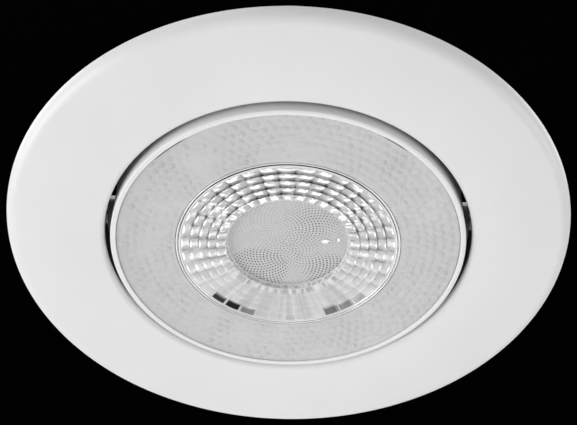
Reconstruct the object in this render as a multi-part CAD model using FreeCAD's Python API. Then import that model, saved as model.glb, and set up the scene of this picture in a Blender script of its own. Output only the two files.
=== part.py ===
import FreeCAD, Part
import math
import os

# Soffit downlight, in millimetres, as it hangs: +Z goes up into the soffit void, the room is below.
# The origin is the centre of the cut-out, on the underside of the soffit board.

# bezel
bezel_r = 45.0          # outer edge, a 90 mm bezel
bezel_t = 2.3           # thickness of the bezel plate
bezel_round = 1.9       # rounding of its outer edge, towards the room
bezel_crown = 0.2       # rise of the visible face at mid width
lip_gap = 1.0           # gap seen between the lens ring and the bezel's opening
lip_round = 0.8
lip_h = 1.4             # depth of the lip before the bore widens behind it
bore_relief = 0.4       # widening of the collar's bore behind the lip
collar_wall = 2.0
collar_h = 9.9
cutout_margin = 4.2     # from the collar to the edge of the hole in the soffit board
gasket_in = 1.0         # the gasket starts this far outside the cut-out
gasket_w = 4.2
gasket_t = 1.4
groove_depth = 0.9      # groove that holds the gasket

# tilt axis, along X
pivot_z = 4.2
pin_r = 1.5
pin_head_r = 2.4
pin_head_t = 1.4
pin_grip = 3.4          # length of the pin inside the head
washer_r = 2.8
washer_t = 0.8
head_gap = 0.3          # side play between the washer and the head
fit = 0.02              # radial clearance of a pin that stays put
run_fit = 0.06          # radial clearance of a pin that turns

# tilting head
head_r = 28.3           # spherical outside, centred on the tilt axis
spigot_step = 0.4       # step at the front that carries the lens ring
spigot_h = 1.2
head_wall = 3.0
chamber_h = 8.5
floor_t = 3.0
fin_h = 6.9
fin_count = 24
fin_t = 1.4
core_r = 11.5
deck_t = 2.6            # plate over the fins that carries the driver housing
deck_rim = 0.8          # the deck stands out this far past the driver housing
boss_w = 7.0            # pad inside the wall that takes the pivot pin
boss_depth = 4.2
duct_y = -10.8          # the two wires from the board to the light source
duct_r = 2.5
duct_wall = 1.2
grommet_lip = 0.6

# lens ring and lens
ring_front = 2.7        # how far the ring's front lies below the soffit plane
ring_proud = 0.1        # the ring stands out this far past the head
ring_lip_w = 0.9        # width of the bright ring seen from below
ring_lip_t = 0.6
ring_round = 0.2
slip = 0.05             # clearance between pressed or glued pieces
over = 1.0              # how far a cut runs past the face that it opens
lens_front = 2.45
lens_plate_t = 1.45
lens_edge_t = 1.05      # thinner edge that the ring holds
lens_edge_w = 0.5
optic_r = 18.1          # opening of the collimator
optic_rim_w = 0.5
optic_rim_depth = 0.3
optic_recess = 0.1
disc_r = 9.9            # centre disc
tir_back_r = 7.0        # small end of the collimator
tir_depth = 6.4
tir_rows = 5
tir_facets = 40
tir_step = 0.25         # small step between one row of facets and the next
pocket_r = 5.9
pocket_depth = 1.2
lens_gasket_w = 1.5
tray_t = 0.8
tray_wall = 0.9
tray_gap = 0.5          # air between the collimator and the tray

# light source
pad_r = 9.8
pad_t = 0.3
cob_w = 13.5
cob_t = 1.2
phosphor_r = 5.2
phosphor_t = 0.5
holder_r = 14.5
holder_window_r = 6.3
holder_gap = 0.05
holder_screw_x = 12.6
m2_r = 1.25
m2_head_r = 2.1
m2_head_t = 1.2
m2_bite = 2.4

# driver housing
driver_r = 20.2
driver_wall = 1.6
driver_floor = 1.5
driver_h = 11.8
cover_t = 2.0
cover_round = 0.8
cover_boss_r = 2.3
cover_boss_in = 2.1     # from the inside of the wall to the cover screws
cover_boss_angles = (30, 150, 270)
seal_w = 0.8
seal_t = 0.6
deck_screw_at = 9.0
deck_screw_angles = (90, 210, 330)
m3_r = 1.5
m3_head_r = 2.4
m3_head_t = 1.4
m3_bite = 5.0
standoff_r = 2.2
standoff_h = 1.7
standoff_in = 4.4       # from the board's edge to its screws
standoff_angles = (15, 172, 235)
board_gap = 0.6         # from the board to the inside of the wall
board_t = 1.6
board_notch = 0.4       # clearance round the cover bosses

# cable gland on the far side
gland_r = 4.6
gland_below = 0.2       # from the gland's flange up to the groove of the cover's seal
gland_bore = 2.6        # hole of the rubber seal, for a 5 mm flex
gland_slack = 0.4       # the body and the nut stand this far clear of the seal's hole
gland_thread_r = 3.7
gland_flange_t = 1.6
gland_inside = 3.2
gland_outside = 3.6
gland_nut_t = 5.0
gland_nut_cap = 1.2
locknut_t = 1.4
knurl_count = 12
knurl_depth = 0.35

# pieces on the board
terminal_size = (14.0, 7.0, 6.6)
terminal_y = 8.2
terminal_poles = 3
terminal_port = (3.0, 3.6, 2.8)
terminal_port_z = 1.0
terminal_screw_y = -1.0
terminal_screw_z = 3.6
terminal_screw_h = 2.6
transformer_core = (9.4, 8.0, 3.0)
transformer_bobbin_r = 3.2
transformer_h = 7.6
transformer_xy = (-8.0, -4.6)
capacitor_r = 3.5
capacitor_l = 10.5
capacitor_xy = (9.4, -4.2)
rectifier_size = (5.2, 6.0, 2.4)
rectifier_xy = (1.2, -1.6)
fuse_r = 1.4
fuse_l = 6.4
fuse_xy = (-9.0, 6.0)
choke_r = 3.1
choke_h = 5.2
choke_xy = (0.0, -9.4)
lead_r = 0.75
lead_gap = 2.2

# spring clips, one at each end of the tilt axis
hinge_out = 1.0         # from the collar to the clip's pin
hinge_z = 12.4
clip_angle = 50.0       # how far the resting arm points down
clip_end = 15.6
clip_t = 0.8
clip_w = 9.2
clip_ear_t = 0.8
clip_ear_r = 2.0
clip_ear_l = 5.0
clip_start = 3.1
clip_pin_r = 1.2
clip_pin_head_r = 1.8
clip_pin_head_t = 0.6
clip_side_gap = 0.3
lug_t = 1.6
lug_r = 2.2
sleeve_l = 4.6
sleeve_skin = 0.7
wire_r = 0.4
coil_r = 2.0
coil_turns = 4
coil_pitch = 1.3
leg_arm = 8.5
leg_post = 5.0
leg_hole_gap = 0.05

# worked out from the sizes above
vec = FreeCAD.Vector
up = vec(0, 0, 1)
ring_out = head_r + ring_proud
spigot_r = head_r - spigot_step
chamber_r = head_r - head_wall
lip_r = ring_out + lip_gap
bore_r = lip_r + bore_relief
collar_r = bore_r + collar_wall
cutout_r = collar_r + cutout_margin
hinge_x = collar_r + hinge_out
gasket_r = cutout_r + gasket_in
floor_z = chamber_h + floor_t
deck_z = floor_z + fin_h
deck_top = deck_z + deck_t
driver_top = deck_top + driver_floor + driver_h
board_z = deck_top + driver_floor + standoff_h
board_top = board_z + board_t
plate_back = lens_plate_t - lens_front
lens_r = ring_out - ring_lip_w
lens_edge_r = lens_r + lens_edge_w - slip
tir_end = plate_back + tir_depth
cob_z = chamber_h - pad_t - cob_t
holder_z = tir_end + holder_gap
driver_in = driver_r - driver_wall
deck_r = driver_r + deck_rim
board_r = driver_in - board_gap
standoff_at = board_r - standoff_in
cover_boss_at = driver_in - cover_boss_in
gland_z = driver_top - seal_t - gland_below - gland_r
coil_span = coil_pitch * (coil_turns + (180 - (90 - clip_angle)) / 360)
lug_y = clip_w / 2 + clip_side_gap
flat_x = math.sqrt(head_r ** 2 - washer_r ** 2) - slip
washer_x = flat_x + head_gap


def turned(points):
    """Solid of revolution about Z from an outline of (radius, height) points."""
    edges = [vec(r, 0, z) for r, z in points]
    face = Part.Face(Part.makePolygon(edges + edges[:1]))
    return face.revolve(vec(0, 0, 0), up, 360)


def disc(radius, low, high, at=(0, 0)):
    return Part.makeCylinder(radius, high - low, vec(at[0], at[1], low))


def tube(inner, outer, low, high):
    return disc(outer, low, high).cut(disc(inner, low - over, high + over))


def box(size, centre_x, centre_y, low):
    corner = vec(centre_x - size[0] / 2, centre_y - size[1] / 2, low)
    return Part.makeBox(size[0], size[1], size[2], corner)


def rod(radius, start, end):
    """Cylinder from one point to another."""
    axis = end - start
    return Part.makeCylinder(radius, axis.Length, start, axis)


def polar(distance, angle):
    turn = math.radians(angle)
    return distance * math.cos(turn), distance * math.sin(turn)


def mirrored(shape):
    return shape.mirror(vec(0, 0, 0), vec(1, 0, 0))


def save(name, *solids):
    shape = solids[0] if len(solids) == 1 else Part.makeCompound(list(solids))
    shape.exportStep("parts/" + name + ".step")
    volume = sum(solid.Volume for solid in shape.Solids)
    print(name, len(shape.Solids), round(volume, 2), shape.isValid())


def sphere_r(height):
    """Radius of the head's spherical outside at a height."""
    return math.sqrt(head_r ** 2 - (height - pivot_z) ** 2)


def trim_bezel():
    face_out = bezel_r - bezel_round
    edge_mid = bezel_round * (1 - math.sqrt(0.5))
    lip_mid = lip_round * (1 - math.sqrt(0.5))
    rim_z = bezel_round - bezel_t
    lip_in = lip_r + lip_round
    face_mid = vec((lip_in + face_out) / 2, 0, -bezel_t - bezel_crown)
    lip_corner = vec(lip_r, 0, lip_round - bezel_t)
    edges = [
        Part.Arc(vec(bezel_r, 0, rim_z), vec(bezel_r - edge_mid, 0, edge_mid - bezel_t),
                 vec(face_out, 0, -bezel_t)).toShape(),
        Part.Arc(vec(face_out, 0, -bezel_t), face_mid, vec(lip_in, 0, -bezel_t)).toShape(),
        Part.Arc(vec(lip_in, 0, -bezel_t), vec(lip_r + lip_mid, 0, lip_mid - bezel_t),
                 lip_corner).toShape(),
    ]
    rest = [lip_corner, vec(lip_r, 0, lip_h - bezel_t), vec(bore_r, 0, lip_h + bore_relief - bezel_t),
            vec(bore_r, 0, collar_h), vec(collar_r, 0, collar_h), vec(collar_r, 0, 0),
            vec(gasket_r, 0, 0), vec(gasket_r, 0, -groove_depth),
            vec(gasket_r + gasket_w, 0, -groove_depth), vec(gasket_r + gasket_w, 0, 0),
            vec(bezel_r, 0, 0), vec(bezel_r, 0, rim_z)]
    edges += [Part.makeLine(a, b) for a, b in zip(rest, rest[1:])]
    shape = Part.Face(Part.Wire(edges)).revolve(vec(0, 0, 0), up, 360)
    for side in (-1, 1):
        for hand in (-1, 1):
            shape = shape.fuse(clip_lug(side, hand))
    bore = disc(bore_r, lip_h + bore_relief - bezel_t, hinge_z + lug_r)
    shape = shape.cut(bore)
    for side in (-1, 1):
        reach = side * cutout_r
        shape = shape.cut(rod(pin_r + fit, vec(0, 0, pivot_z), vec(reach, 0, pivot_z)))
        pin_y = lug_y + lug_t + over
        start = vec(side * hinge_x, -pin_y, hinge_z)
        shape = shape.cut(rod(clip_pin_r + fit, start, vec(side * hinge_x, pin_y, hinge_z)))
        post, post_dir = coil_point(0)
        hole = rod(wire_r + leg_hole_gap, post - post_dir * (leg_post + leg_hole_gap), post)
        shape = shape.cut(hole if side > 0 else mirrored(hole))
    return shape.removeSplitter()


def clip_lug(side, hand):
    """One cheek of a clip hinge, standing on the bezel against the collar."""
    low_y = lug_y if hand > 0 else -lug_y - lug_t
    inner = bore_r - over
    outline = [vec(inner, low_y, 0), vec(hinge_x + lug_r, low_y, 0),
               vec(hinge_x + lug_r, low_y, hinge_z)]
    top = vec(hinge_x, low_y, hinge_z + lug_r)
    mid = vec(hinge_x + lug_r * math.sqrt(0.5), low_y, hinge_z + lug_r * math.sqrt(0.5))
    edges = [Part.makeLine(a, b) for a, b in zip(outline, outline[1:])]
    edges.append(Part.Arc(outline[-1], mid, top).toShape())
    back = [top, vec(inner, low_y, hinge_z + lug_r), outline[0]]
    edges += [Part.makeLine(a, b) for a, b in zip(back, back[1:])]
    lug = Part.Face(Part.Wire(edges)).extrude(vec(0, lug_t, 0))
    return lug if side > 0 else mirrored(lug)


def soffit_gasket():
    return tube(gasket_r + slip, gasket_r + gasket_w - slip, -groove_depth, gasket_t - groove_depth)


def pivot_pin(side):
    inner = flat_x - pin_grip
    body = rod(pin_r, vec(inner, 0, pivot_z), vec(collar_r, 0, pivot_z))
    head = rod(pin_head_r, vec(collar_r, 0, pivot_z), vec(collar_r + pin_head_t, 0, pivot_z))
    pin = body.fuse(head).removeSplitter()
    return pin if side > 0 else mirrored(pin)


def pivot_washer(side):
    start = vec(washer_x, 0, pivot_z)
    end = vec(washer_x + washer_t, 0, pivot_z)
    ring = rod(washer_r, start, end).cut(rod(pin_r + fit, start, end))
    return ring if side > 0 else mirrored(ring)


def head_housing():
    steps = 6
    wall = []
    for step in range(steps + 1):
        height = spigot_h + (floor_z - spigot_h) * step / steps
        wall.append((sphere_r(height), height))
    outline = [(chamber_r, 0), (spigot_r, 0), (spigot_r, spigot_h)] + wall
    outline += [(0, floor_z), (0, chamber_h), (chamber_r, chamber_h)]
    shape = turned(outline)
    shape = shape.fuse(fins())
    shape = shape.fuse(disc(core_r, floor_z - over, deck_z + over))
    shape = shape.fuse(disc(deck_r, deck_z, deck_top))
    shape = shape.fuse(disc(duct_r + duct_wall, chamber_h, deck_top, (0, duct_y)))
    for side in (-1, 1):
        pad = box((boss_depth, boss_w, chamber_h), side * (chamber_r + over - boss_depth / 2), 0, 0)
        shape = shape.fuse(pad)
    for side in (-1, 1):
        flat_end = vec(side * (flat_x + over), 0, pivot_z)
        shape = shape.cut(rod(washer_r + head_gap, vec(side * flat_x, 0, pivot_z), flat_end))
        start = vec(side * (flat_x - pin_grip - head_gap), 0, pivot_z)
        shape = shape.cut(rod(pin_r + run_fit, start, vec(side * head_r, 0, pivot_z)))
        hole = disc(m2_r + fit, chamber_h - over, chamber_h + m2_bite + slip, (side * holder_screw_x, 0))
        shape = shape.cut(hole)
    shape = shape.cut(disc(duct_r, chamber_h - over, deck_top + over, (0, duct_y)))
    for angle in deck_screw_angles:
        spot = polar(deck_screw_at, angle)
        shape = shape.cut(disc(m3_r + fit, deck_top - m3_bite - slip, deck_top + over, spot))
    return shape.removeSplitter()


def fins():
    """Radial fins between the floor and the deck, trimmed to the head's spherical outside."""
    steps = 5
    low = floor_z - over
    tall = fin_h + 2 * over
    outline = [(core_r - over, low)]
    for step in range(steps + 1):
        height = low + tall * step / steps
        outline.append((sphere_r(height) - slip, height))
    outline.append((core_r - over, deck_z + over))
    blank = turned(outline)
    blades = None
    for index in range(fin_count // 2):
        blade = Part.makeBox(2 * head_r, fin_t, tall, vec(-head_r, -fin_t / 2, low))
        blade.rotate(vec(0, 0, 0), up, (index + 0.5) * 360 / fin_count)
        blades = blade if blades is None else blades.fuse(blade)
    return blank.common(blades)


def lens_ring():
    front = -ring_front
    inner = spigot_r + slip
    outline = [(lens_r + ring_round, front), (ring_out - ring_round, front), (ring_out, front + ring_round),
               (ring_out, spigot_h), (inner, spigot_h), (inner, front + ring_lip_t),
               (lens_r, front + ring_lip_t), (lens_r, front + ring_round)]
    return turned(outline)


def tir_radius(share):
    """Outside of the collimator, a paraboloid: 0 at the plate, 1 at the small end."""
    wide = optic_r ** 2
    narrow = tir_back_r ** 2
    return math.sqrt(wide + (narrow - wide) * share)


def ngon(radius, height):
    points = []
    for index in range(tir_facets + 1):
        x, y = polar(radius, (index % tir_facets) * 360 / tir_facets)
        points.append(vec(x, y, height))
    return Part.makePolygon(points)


def collimator():
    """Rows of flat facets that step in towards the light source."""
    rows = []
    for row in range(tir_rows):
        low = plate_back + tir_depth * row / tir_rows
        high = plate_back + tir_depth * (row + 1) / tir_rows
        start = tir_radius(row / tir_rows)
        end = tir_radius((row + 1) / tir_rows)
        end = end + (tir_step if row < tir_rows - 1 else 0)
        rows.append(Part.makeLoft([ngon(start, low), ngon(end, high)], True, True))
    whole = rows[0]
    for row in rows[1:]:
        whole = whole.fuse(row)
    return whole


def lens():
    front = -lens_front
    edge_z = plate_back - lens_edge_t
    rim_z = front + optic_rim_depth
    optic_z = front + optic_recess
    rim_in = optic_r - optic_rim_w
    outline = [(0, front), (disc_r, front), (disc_r, optic_z), (rim_in, optic_z), (rim_in, rim_z),
               (optic_r, rim_z), (optic_r, front), (lens_r - slip, front), (lens_r - slip, edge_z),
               (lens_edge_r, edge_z), (lens_edge_r, plate_back), (0, plate_back)]
    shape = turned(outline).fuse(collimator())
    pocket = disc(pocket_r, tir_end - pocket_depth, tir_end + over)
    return shape.cut(pocket).removeSplitter()


def lens_gasket():
    outer = lens_edge_r - slip
    return tube(outer - lens_gasket_w, outer, plate_back, 0)


def lens_tray():
    """White tray under the plate, with a skirt that follows the collimator down to the holder."""
    inner = skirt(-tray_t, tir_step + tray_gap)
    outer = skirt(0, tir_step + tray_gap + tray_wall)
    edge = lens_edge_r - 2 * slip - lens_gasket_w - slip
    return turned(inner + outer[::-1] + [(edge, 0), (edge, -tray_t)])


def skirt(low, offset):
    """Outline that keeps an offset from the collimator, from a height down to its small end."""
    steps = 6
    points = []
    for step in range(steps + 1):
        height = low + (tir_end - low) * step / steps
        points.append((tir_radius((height - plate_back) / tir_depth) + offset, height))
    return points


def cob_holder():
    shape = disc(holder_r, holder_z, chamber_h)
    shape = shape.cut(disc(holder_window_r, holder_z - over, chamber_h + over))
    shape = shape.cut(disc(pad_r + slip, chamber_h - pad_t, chamber_h + over))
    shape = shape.cut(box((cob_w + 2 * slip, cob_w + 2 * slip, chamber_h), 0, 0, cob_z))
    for side in (-1, 1):
        spot = (side * holder_screw_x, 0)
        shape = shape.cut(disc(m2_r + fit, holder_z - over, chamber_h + over, spot))
        shape = shape.cut(disc(m2_head_r + slip, holder_z - over, holder_z + m2_head_t, spot))
        spot = (side * lead_gap / 2, duct_y)
        shape = shape.cut(disc(lead_r + fit, cob_z, chamber_h + over, spot))
    return shape


def screw(spot, seat, head_r, head_t, shank_r, bite, points_up):
    """Pan head screw on a seat: the shank goes up or down from it by the length of its bite."""
    if points_up:
        head = disc(head_r, seat - head_t, seat, spot)
        shank = disc(shank_r, seat, seat + bite, spot)
    else:
        head = disc(head_r, seat, seat + head_t, spot)
        shank = disc(shank_r, seat - bite, seat, spot)
    slot_size = (2 * head_r + over, head_r / 3, head_t / 2)
    slot_z = seat - head_t if points_up else seat + head_t / 2
    slot_cut = box(slot_size, spot[0], spot[1], slot_z)
    return head.fuse(shank).removeSplitter().cut(slot_cut)


def holder_screw(side):
    seat = holder_z + m2_head_t
    bite = chamber_h + m2_bite - seat
    return screw((side * holder_screw_x, 0), seat, m2_head_r, m2_head_t, m2_r, bite, True)


def led_lead(side):
    return disc(lead_r, cob_z, board_z, (side * lead_gap / 2, duct_y))


def lead_grommet():
    """Rubber bush that seals the two wires where they pass the driver housing's floor."""
    floor = deck_top + driver_floor
    flange = m3_head_t - 3 * slip
    shape = disc(duct_r - slip, deck_z, floor, (0, duct_y))
    shape = shape.fuse(disc(duct_r + grommet_lip, floor, floor + flange, (0, duct_y)))
    for side in (-1, 1):
        spot = (side * lead_gap / 2, duct_y)
        shape = shape.cut(disc(lead_r + fit, deck_z - over, floor + 2 * over, spot))
    return shape.removeSplitter()


def driver_housing():
    floor = deck_top + driver_floor
    shape = disc(driver_r, deck_top, driver_top)
    shape = shape.cut(disc(driver_in, floor, driver_top + over))
    for angle in cover_boss_angles:
        shape = shape.fuse(disc(cover_boss_r, floor - over, driver_top, polar(cover_boss_at, angle)))
    for angle in standoff_angles:
        shape = shape.fuse(disc(standoff_r, floor - over, board_z, polar(standoff_at, angle)))
    for angle in cover_boss_angles:
        spot = polar(cover_boss_at, angle)
        shape = shape.cut(disc(m2_r + fit, driver_top - m3_bite, driver_top + over, spot))
    for angle in standoff_angles:
        shape = shape.cut(disc(m2_r + fit, floor, board_z + over, polar(standoff_at, angle)))
    for angle in deck_screw_angles:
        shape = shape.cut(disc(m3_r + fit, deck_top - over, floor + over, polar(deck_screw_at, angle)))
    shape = shape.cut(disc(duct_r, deck_top - over, floor + over, (0, duct_y)))
    hole = rod(gland_thread_r + fit, vec(0, 0, gland_z), vec(0, 2 * driver_r, gland_z))
    flat = box((2 * driver_r, driver_r, 2 * driver_h), 0, gland_seat() + driver_r / 2, deck_top)
    face = flat.common(rod(gland_r + slip, vec(0, 0, gland_z), vec(0, 2 * driver_r, gland_z)))
    shape = shape.cut(hole).cut(face)
    groove = tube(driver_in + (driver_wall - seal_w) / 2, driver_in + (driver_wall + seal_w) / 2,
                  driver_top - seal_t, driver_top + over)
    shape = shape.cut(groove)
    return shape.removeSplitter()


def gland_seat():
    """Flat spotface on the wall: the gland's flange sits on it."""
    return math.sqrt(driver_r ** 2 - gland_r ** 2)


def cover_gasket():
    middle = driver_in + driver_wall / 2
    half = seal_w / 2 - slip
    return tube(middle - half, middle + half, driver_top - seal_t, driver_top)


def rear_cover():
    shape = disc(driver_r, driver_top, driver_top + cover_t)
    rim = [edge for edge in shape.Edges if edge.BoundBox.ZMin > driver_top + cover_t / 2]
    shape = shape.makeFillet(cover_round, rim)
    head_seat = driver_top + cover_t - m2_head_t
    for angle in cover_boss_angles:
        spot = polar(cover_boss_at, angle)
        shape = shape.cut(disc(m2_r + fit, driver_top - over, driver_top + cover_t + over, spot))
        shape = shape.cut(disc(m2_head_r + slip, head_seat, driver_top + cover_t + over, spot))
    return shape.removeSplitter()


def driver_board():
    shape = disc(board_r, board_z, board_top)
    for angle in cover_boss_angles:
        spot = polar(cover_boss_at, angle)
        shape = shape.cut(disc(cover_boss_r + board_notch, board_z - over, board_top + over, spot))
    for angle in standoff_angles:
        shape = shape.cut(disc(m2_r + fit, board_z - over, board_top + over, polar(standoff_at, angle)))
    inner_end = gland_seat() - gland_inside - board_notch
    strip = box((2 * driver_r, driver_r, 4 * board_t), 0, inner_end + driver_r / 2, board_z - board_t)
    return shape.cut(strip)


def terminal_block():
    shape = box(terminal_size, 0, terminal_y, board_top)
    pitch = terminal_size[0] / terminal_poles
    front = terminal_y + terminal_size[1] / 2
    for pole in range(terminal_poles):
        x = (pole - (terminal_poles - 1) / 2) * pitch
        shape = shape.cut(box(terminal_port, x, front - terminal_port[1] / 2, board_top + terminal_port_z))
        well = disc(m2_r + slip, board_top + terminal_screw_z, driver_top, (x, terminal_y + terminal_screw_y))
        shape = shape.cut(well)
    return shape


def terminal_screw(pole):
    pitch = terminal_size[0] / terminal_poles
    x = (pole - (terminal_poles - 1) / 2) * pitch
    y = terminal_y + terminal_screw_y
    low = board_top + terminal_screw_z
    shape = disc(m2_r, low, low + terminal_screw_h, (x, y))
    slot_size = (2 * m2_r, m2_r / 3, m2_head_t / 2)
    return shape.cut(box(slot_size, x, y, low + terminal_screw_h - slot_size[2]))


def transformer():
    """Ferrite core of two plates and a centre post, with the wound bobbin between them."""
    x, y = transformer_xy
    plate = transformer_core[2] / 2
    core = box((transformer_core[0], transformer_core[1], plate), x, y, board_top)
    core = core.fuse(box((transformer_core[0], transformer_core[1], plate), x, y,
                         board_top + transformer_h - plate))
    core = core.fuse(disc(transformer_bobbin_r, board_top, board_top + transformer_h, (x, y)))
    wall = transformer_core[0] / 10
    for side in (-1, 1):
        post_x = x + side * (transformer_core[0] - wall) / 2
        core = core.fuse(box((wall, transformer_core[1], transformer_h), post_x, y, board_top))
    return core.removeSplitter()


def bulk_capacitor():
    x, y = capacitor_xy
    z = board_top + capacitor_r
    half = capacitor_l / 2
    can = rod(capacitor_r, vec(x, y - half, z), vec(x, y + half, z))
    rims = [edge for edge in can.Edges if len(edge.Vertexes) == 1]
    return can.makeFillet(capacitor_r / 8, rims)


def fuse_tube():
    x, y = fuse_xy
    z = board_top + fuse_r
    return rod(fuse_r, vec(x, y - fuse_l / 2, z), vec(x, y + fuse_l / 2, z))


def output_choke():
    shape = disc(choke_r, board_top, board_top + choke_h, choke_xy)
    waist = tube(choke_r * 0.75, choke_r + over, choke_h * 0.2, choke_h * 0.8)
    waist.translate(vec(choke_xy[0], choke_xy[1], board_top))
    return shape.cut(waist)


def along_y(radius, start, end):
    return rod(radius, vec(0, start, gland_z), vec(0, end, gland_z))


def gland_body():
    seat = gland_seat()
    end = seat + gland_flange_t + gland_outside
    shape = along_y(gland_thread_r, seat - gland_inside, end)
    shape = shape.fuse(along_y(gland_r, seat, seat + gland_flange_t))
    shape = shape.cut(along_y(gland_bore + gland_slack, seat - gland_inside - over, end + over))
    socket = along_y(gland_bore + (gland_thread_r - gland_bore) / 2 + slip, end - gland_outside, end + over)
    return shape.cut(socket).removeSplitter()


def gland_seal():
    """Rubber sleeve in the gland's mouth, pressed on the cable by the nut."""
    seat = gland_seat()
    end = seat + gland_flange_t + gland_outside
    outer = gland_bore + (gland_thread_r - gland_bore) / 2
    shape = along_y(outer, end - gland_outside, end)
    return shape.cut(along_y(gland_bore, end - gland_outside - over, end + over))


def gland_nut():
    start = gland_seat() + gland_flange_t + slip
    shape = along_y(gland_r, start, start + gland_nut_t)
    thread_end = gland_seat() + gland_flange_t + gland_outside
    shape = shape.cut(along_y(gland_thread_r + slip, start - over, thread_end + slip))
    shape = shape.cut(along_y(gland_bore + gland_slack, start - over, start + gland_nut_t + over))
    for index in range(knurl_count):
        angle = index * 360 / knurl_count
        x, z = polar(gland_r + knurl_depth, angle)
        groove = rod(2 * knurl_depth, vec(x, start - over, gland_z + z),
                     vec(x, start + gland_nut_t - gland_nut_cap / 2, gland_z + z))
        shape = shape.cut(groove)
    return shape


def gland_locknut():
    inner_wall = driver_in
    start = math.sqrt(inner_wall ** 2 - gland_r ** 2) - locknut_t - slip
    nut = along_y(gland_r, start, start + locknut_t)
    return nut.cut(along_y(gland_thread_r + slip, start - over, start + locknut_t + over))


def placed_clip(shape, side):
    """From the arm's own frame, X along the arm and Z across it, to its place on the hinge."""
    shape.rotate(vec(0, 0, 0), vec(0, 1, 0), clip_angle)
    shape.translate(vec(hinge_x, 0, hinge_z))
    return shape if side > 0 else mirrored(shape)


def clip_plate_z():
    """Lower face of the arm's plate: the spring's leg lies on its upper face."""
    return coil_r - wire_r - slip - clip_t


def clip_arm(side):
    low = clip_plate_z()
    top = low + clip_t
    end = clip_end - sleeve_skin
    shape = Part.makeBox(end - clip_start, clip_w, clip_t, vec(clip_start, -clip_w / 2, low))
    for hand in (-1, 1):
        ear_y = clip_w / 2 - clip_ear_t if hand > 0 else -clip_w / 2
        ear = Part.makeBox(clip_ear_l, clip_ear_t, top + clip_ear_r / 2, vec(0, ear_y, -clip_ear_r / 2))
        eye = rod(clip_ear_r, vec(0, ear_y, 0), vec(0, ear_y + clip_ear_t, 0))
        shape = shape.fuse(ear).fuse(eye)
    hole = rod(clip_pin_r + run_fit, vec(0, -clip_w, 0), vec(0, clip_w, 0))
    return placed_clip(shape.cut(hole).removeSplitter(), side)


def clip_sleeve(side):
    """Rubber shoe on the end of the arm."""
    low = clip_plate_z()
    size = (sleeve_l, clip_w + 2 * sleeve_skin, clip_t + 2 * sleeve_skin)
    shape = Part.makeBox(size[0], size[1], size[2],
                         vec(clip_end - sleeve_l, -size[1] / 2, low - sleeve_skin))
    long_edges = [edge for edge in shape.Edges if abs(edge.Length - size[1]) < slip]
    shape = shape.makeFillet(sleeve_skin / 2, long_edges)
    inside = Part.makeBox(sleeve_l - sleeve_skin + slip, clip_w + 2 * fit, clip_t + 2 * fit,
                          vec(clip_end - sleeve_l - slip, -clip_w / 2 - fit, low - fit))
    return placed_clip(shape.cut(inside), side)


def clip_pin(side):
    span = lug_y + lug_t
    x = side * hinge_x
    pin = rod(clip_pin_r, vec(x, -span, hinge_z), vec(x, span, hinge_z))
    for hand in (-1, 1):
        start = vec(x, hand * span, hinge_z)
        pin = pin.fuse(rod(clip_pin_head_r, start, start + vec(0, hand * clip_pin_head_t, 0)))
    return pin.removeSplitter()


def arc_from(start, corner, end):
    """Arc that leaves start towards corner and arrives at end from it."""
    middle = (start + end) * 0.5
    half = (end - start).Length / 2
    rise = (corner - middle).Length
    reach = math.hypot(half, rise)
    sag = half * (reach - half) / rise
    return Part.Arc(start, middle + (corner - middle).normalize() * sag, end).toShape()


def biarc(start, start_dir, end, end_dir):
    """Two arcs that join two points with the given directions."""
    across = end - start
    both = start_dir + end_dir
    spread = 2 * (1 - start_dir.dot(end_dir))
    along = across.dot(both)
    reach = (math.sqrt(along ** 2 + spread * across.dot(across)) - along) / spread
    first = start + start_dir * reach
    second = end - end_dir * reach
    joint = (first + second) * 0.5
    return [arc_from(start, first, joint), arc_from(joint, second, end)]


def coil_point(turn):
    """Point and direction of the wire's centre line: turn is in degrees from the post's side."""
    angle = math.radians(180 - turn)
    y = coil_pitch * turn / 360 - coil_span / 2
    point = vec(hinge_x + coil_r * math.cos(angle), y, hinge_z + coil_r * math.sin(angle))
    direction = vec(math.sin(angle) * coil_r, coil_pitch / (2 * math.pi), -math.cos(angle) * coil_r)
    return point, direction.normalize()


def clip_spring(side):
    """Torsion spring on the clip's pin: a post in the collar, the coil, and a leg along the arm."""
    last = 360 * coil_turns + 180 - (90 - clip_angle)
    quarters = math.ceil(last / 90)
    points = [coil_point(last * step / quarters) for step in range(quarters + 1)]
    first, first_dir = points[0]
    end, end_dir = points[-1]
    edges = [Part.makeLine(first - first_dir * leg_post, first)]
    for (start, start_dir), (stop, stop_dir) in zip(points, points[1:]):
        edges += biarc(start, start_dir, stop, stop_dir)
    edges.append(Part.makeLine(end, end + end_dir * leg_arm))
    path = Part.Wire(edges)
    section = Part.Wire(Part.makeCircle(wire_r, first - first_dir * leg_post, first_dir))
    shell = Part.BRepOffsetAPI.MakePipeShell(path)
    shell.add(section)
    shell.build()
    shell.makeSolid()
    spring = shell.shape()
    if side > 0:
        print("spring gap", round(least_gap(edges), 3), "volume over section times length",
              round(spring.Volume / (math.pi * wire_r ** 2 * path.Length), 4))
    return spring if side > 0 else mirrored(spring)


def least_gap(edges):
    """Least gap of the wire to itself, between points more than a half turn apart."""
    points = []
    travelled = 0
    for edge in edges:
        for point in edge.discretize(12)[:-1]:
            points.append((travelled, point))
            travelled += edge.Length / 11
    apart = math.pi * coil_r
    gaps = [(a - b).Length for i, (s, a) in enumerate(points) for t, b in points[i + 1:] if t - s > apart]
    return min(gaps) - 2 * wire_r


os.makedirs("parts", exist_ok=True)
both = (-1, 1)

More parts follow.
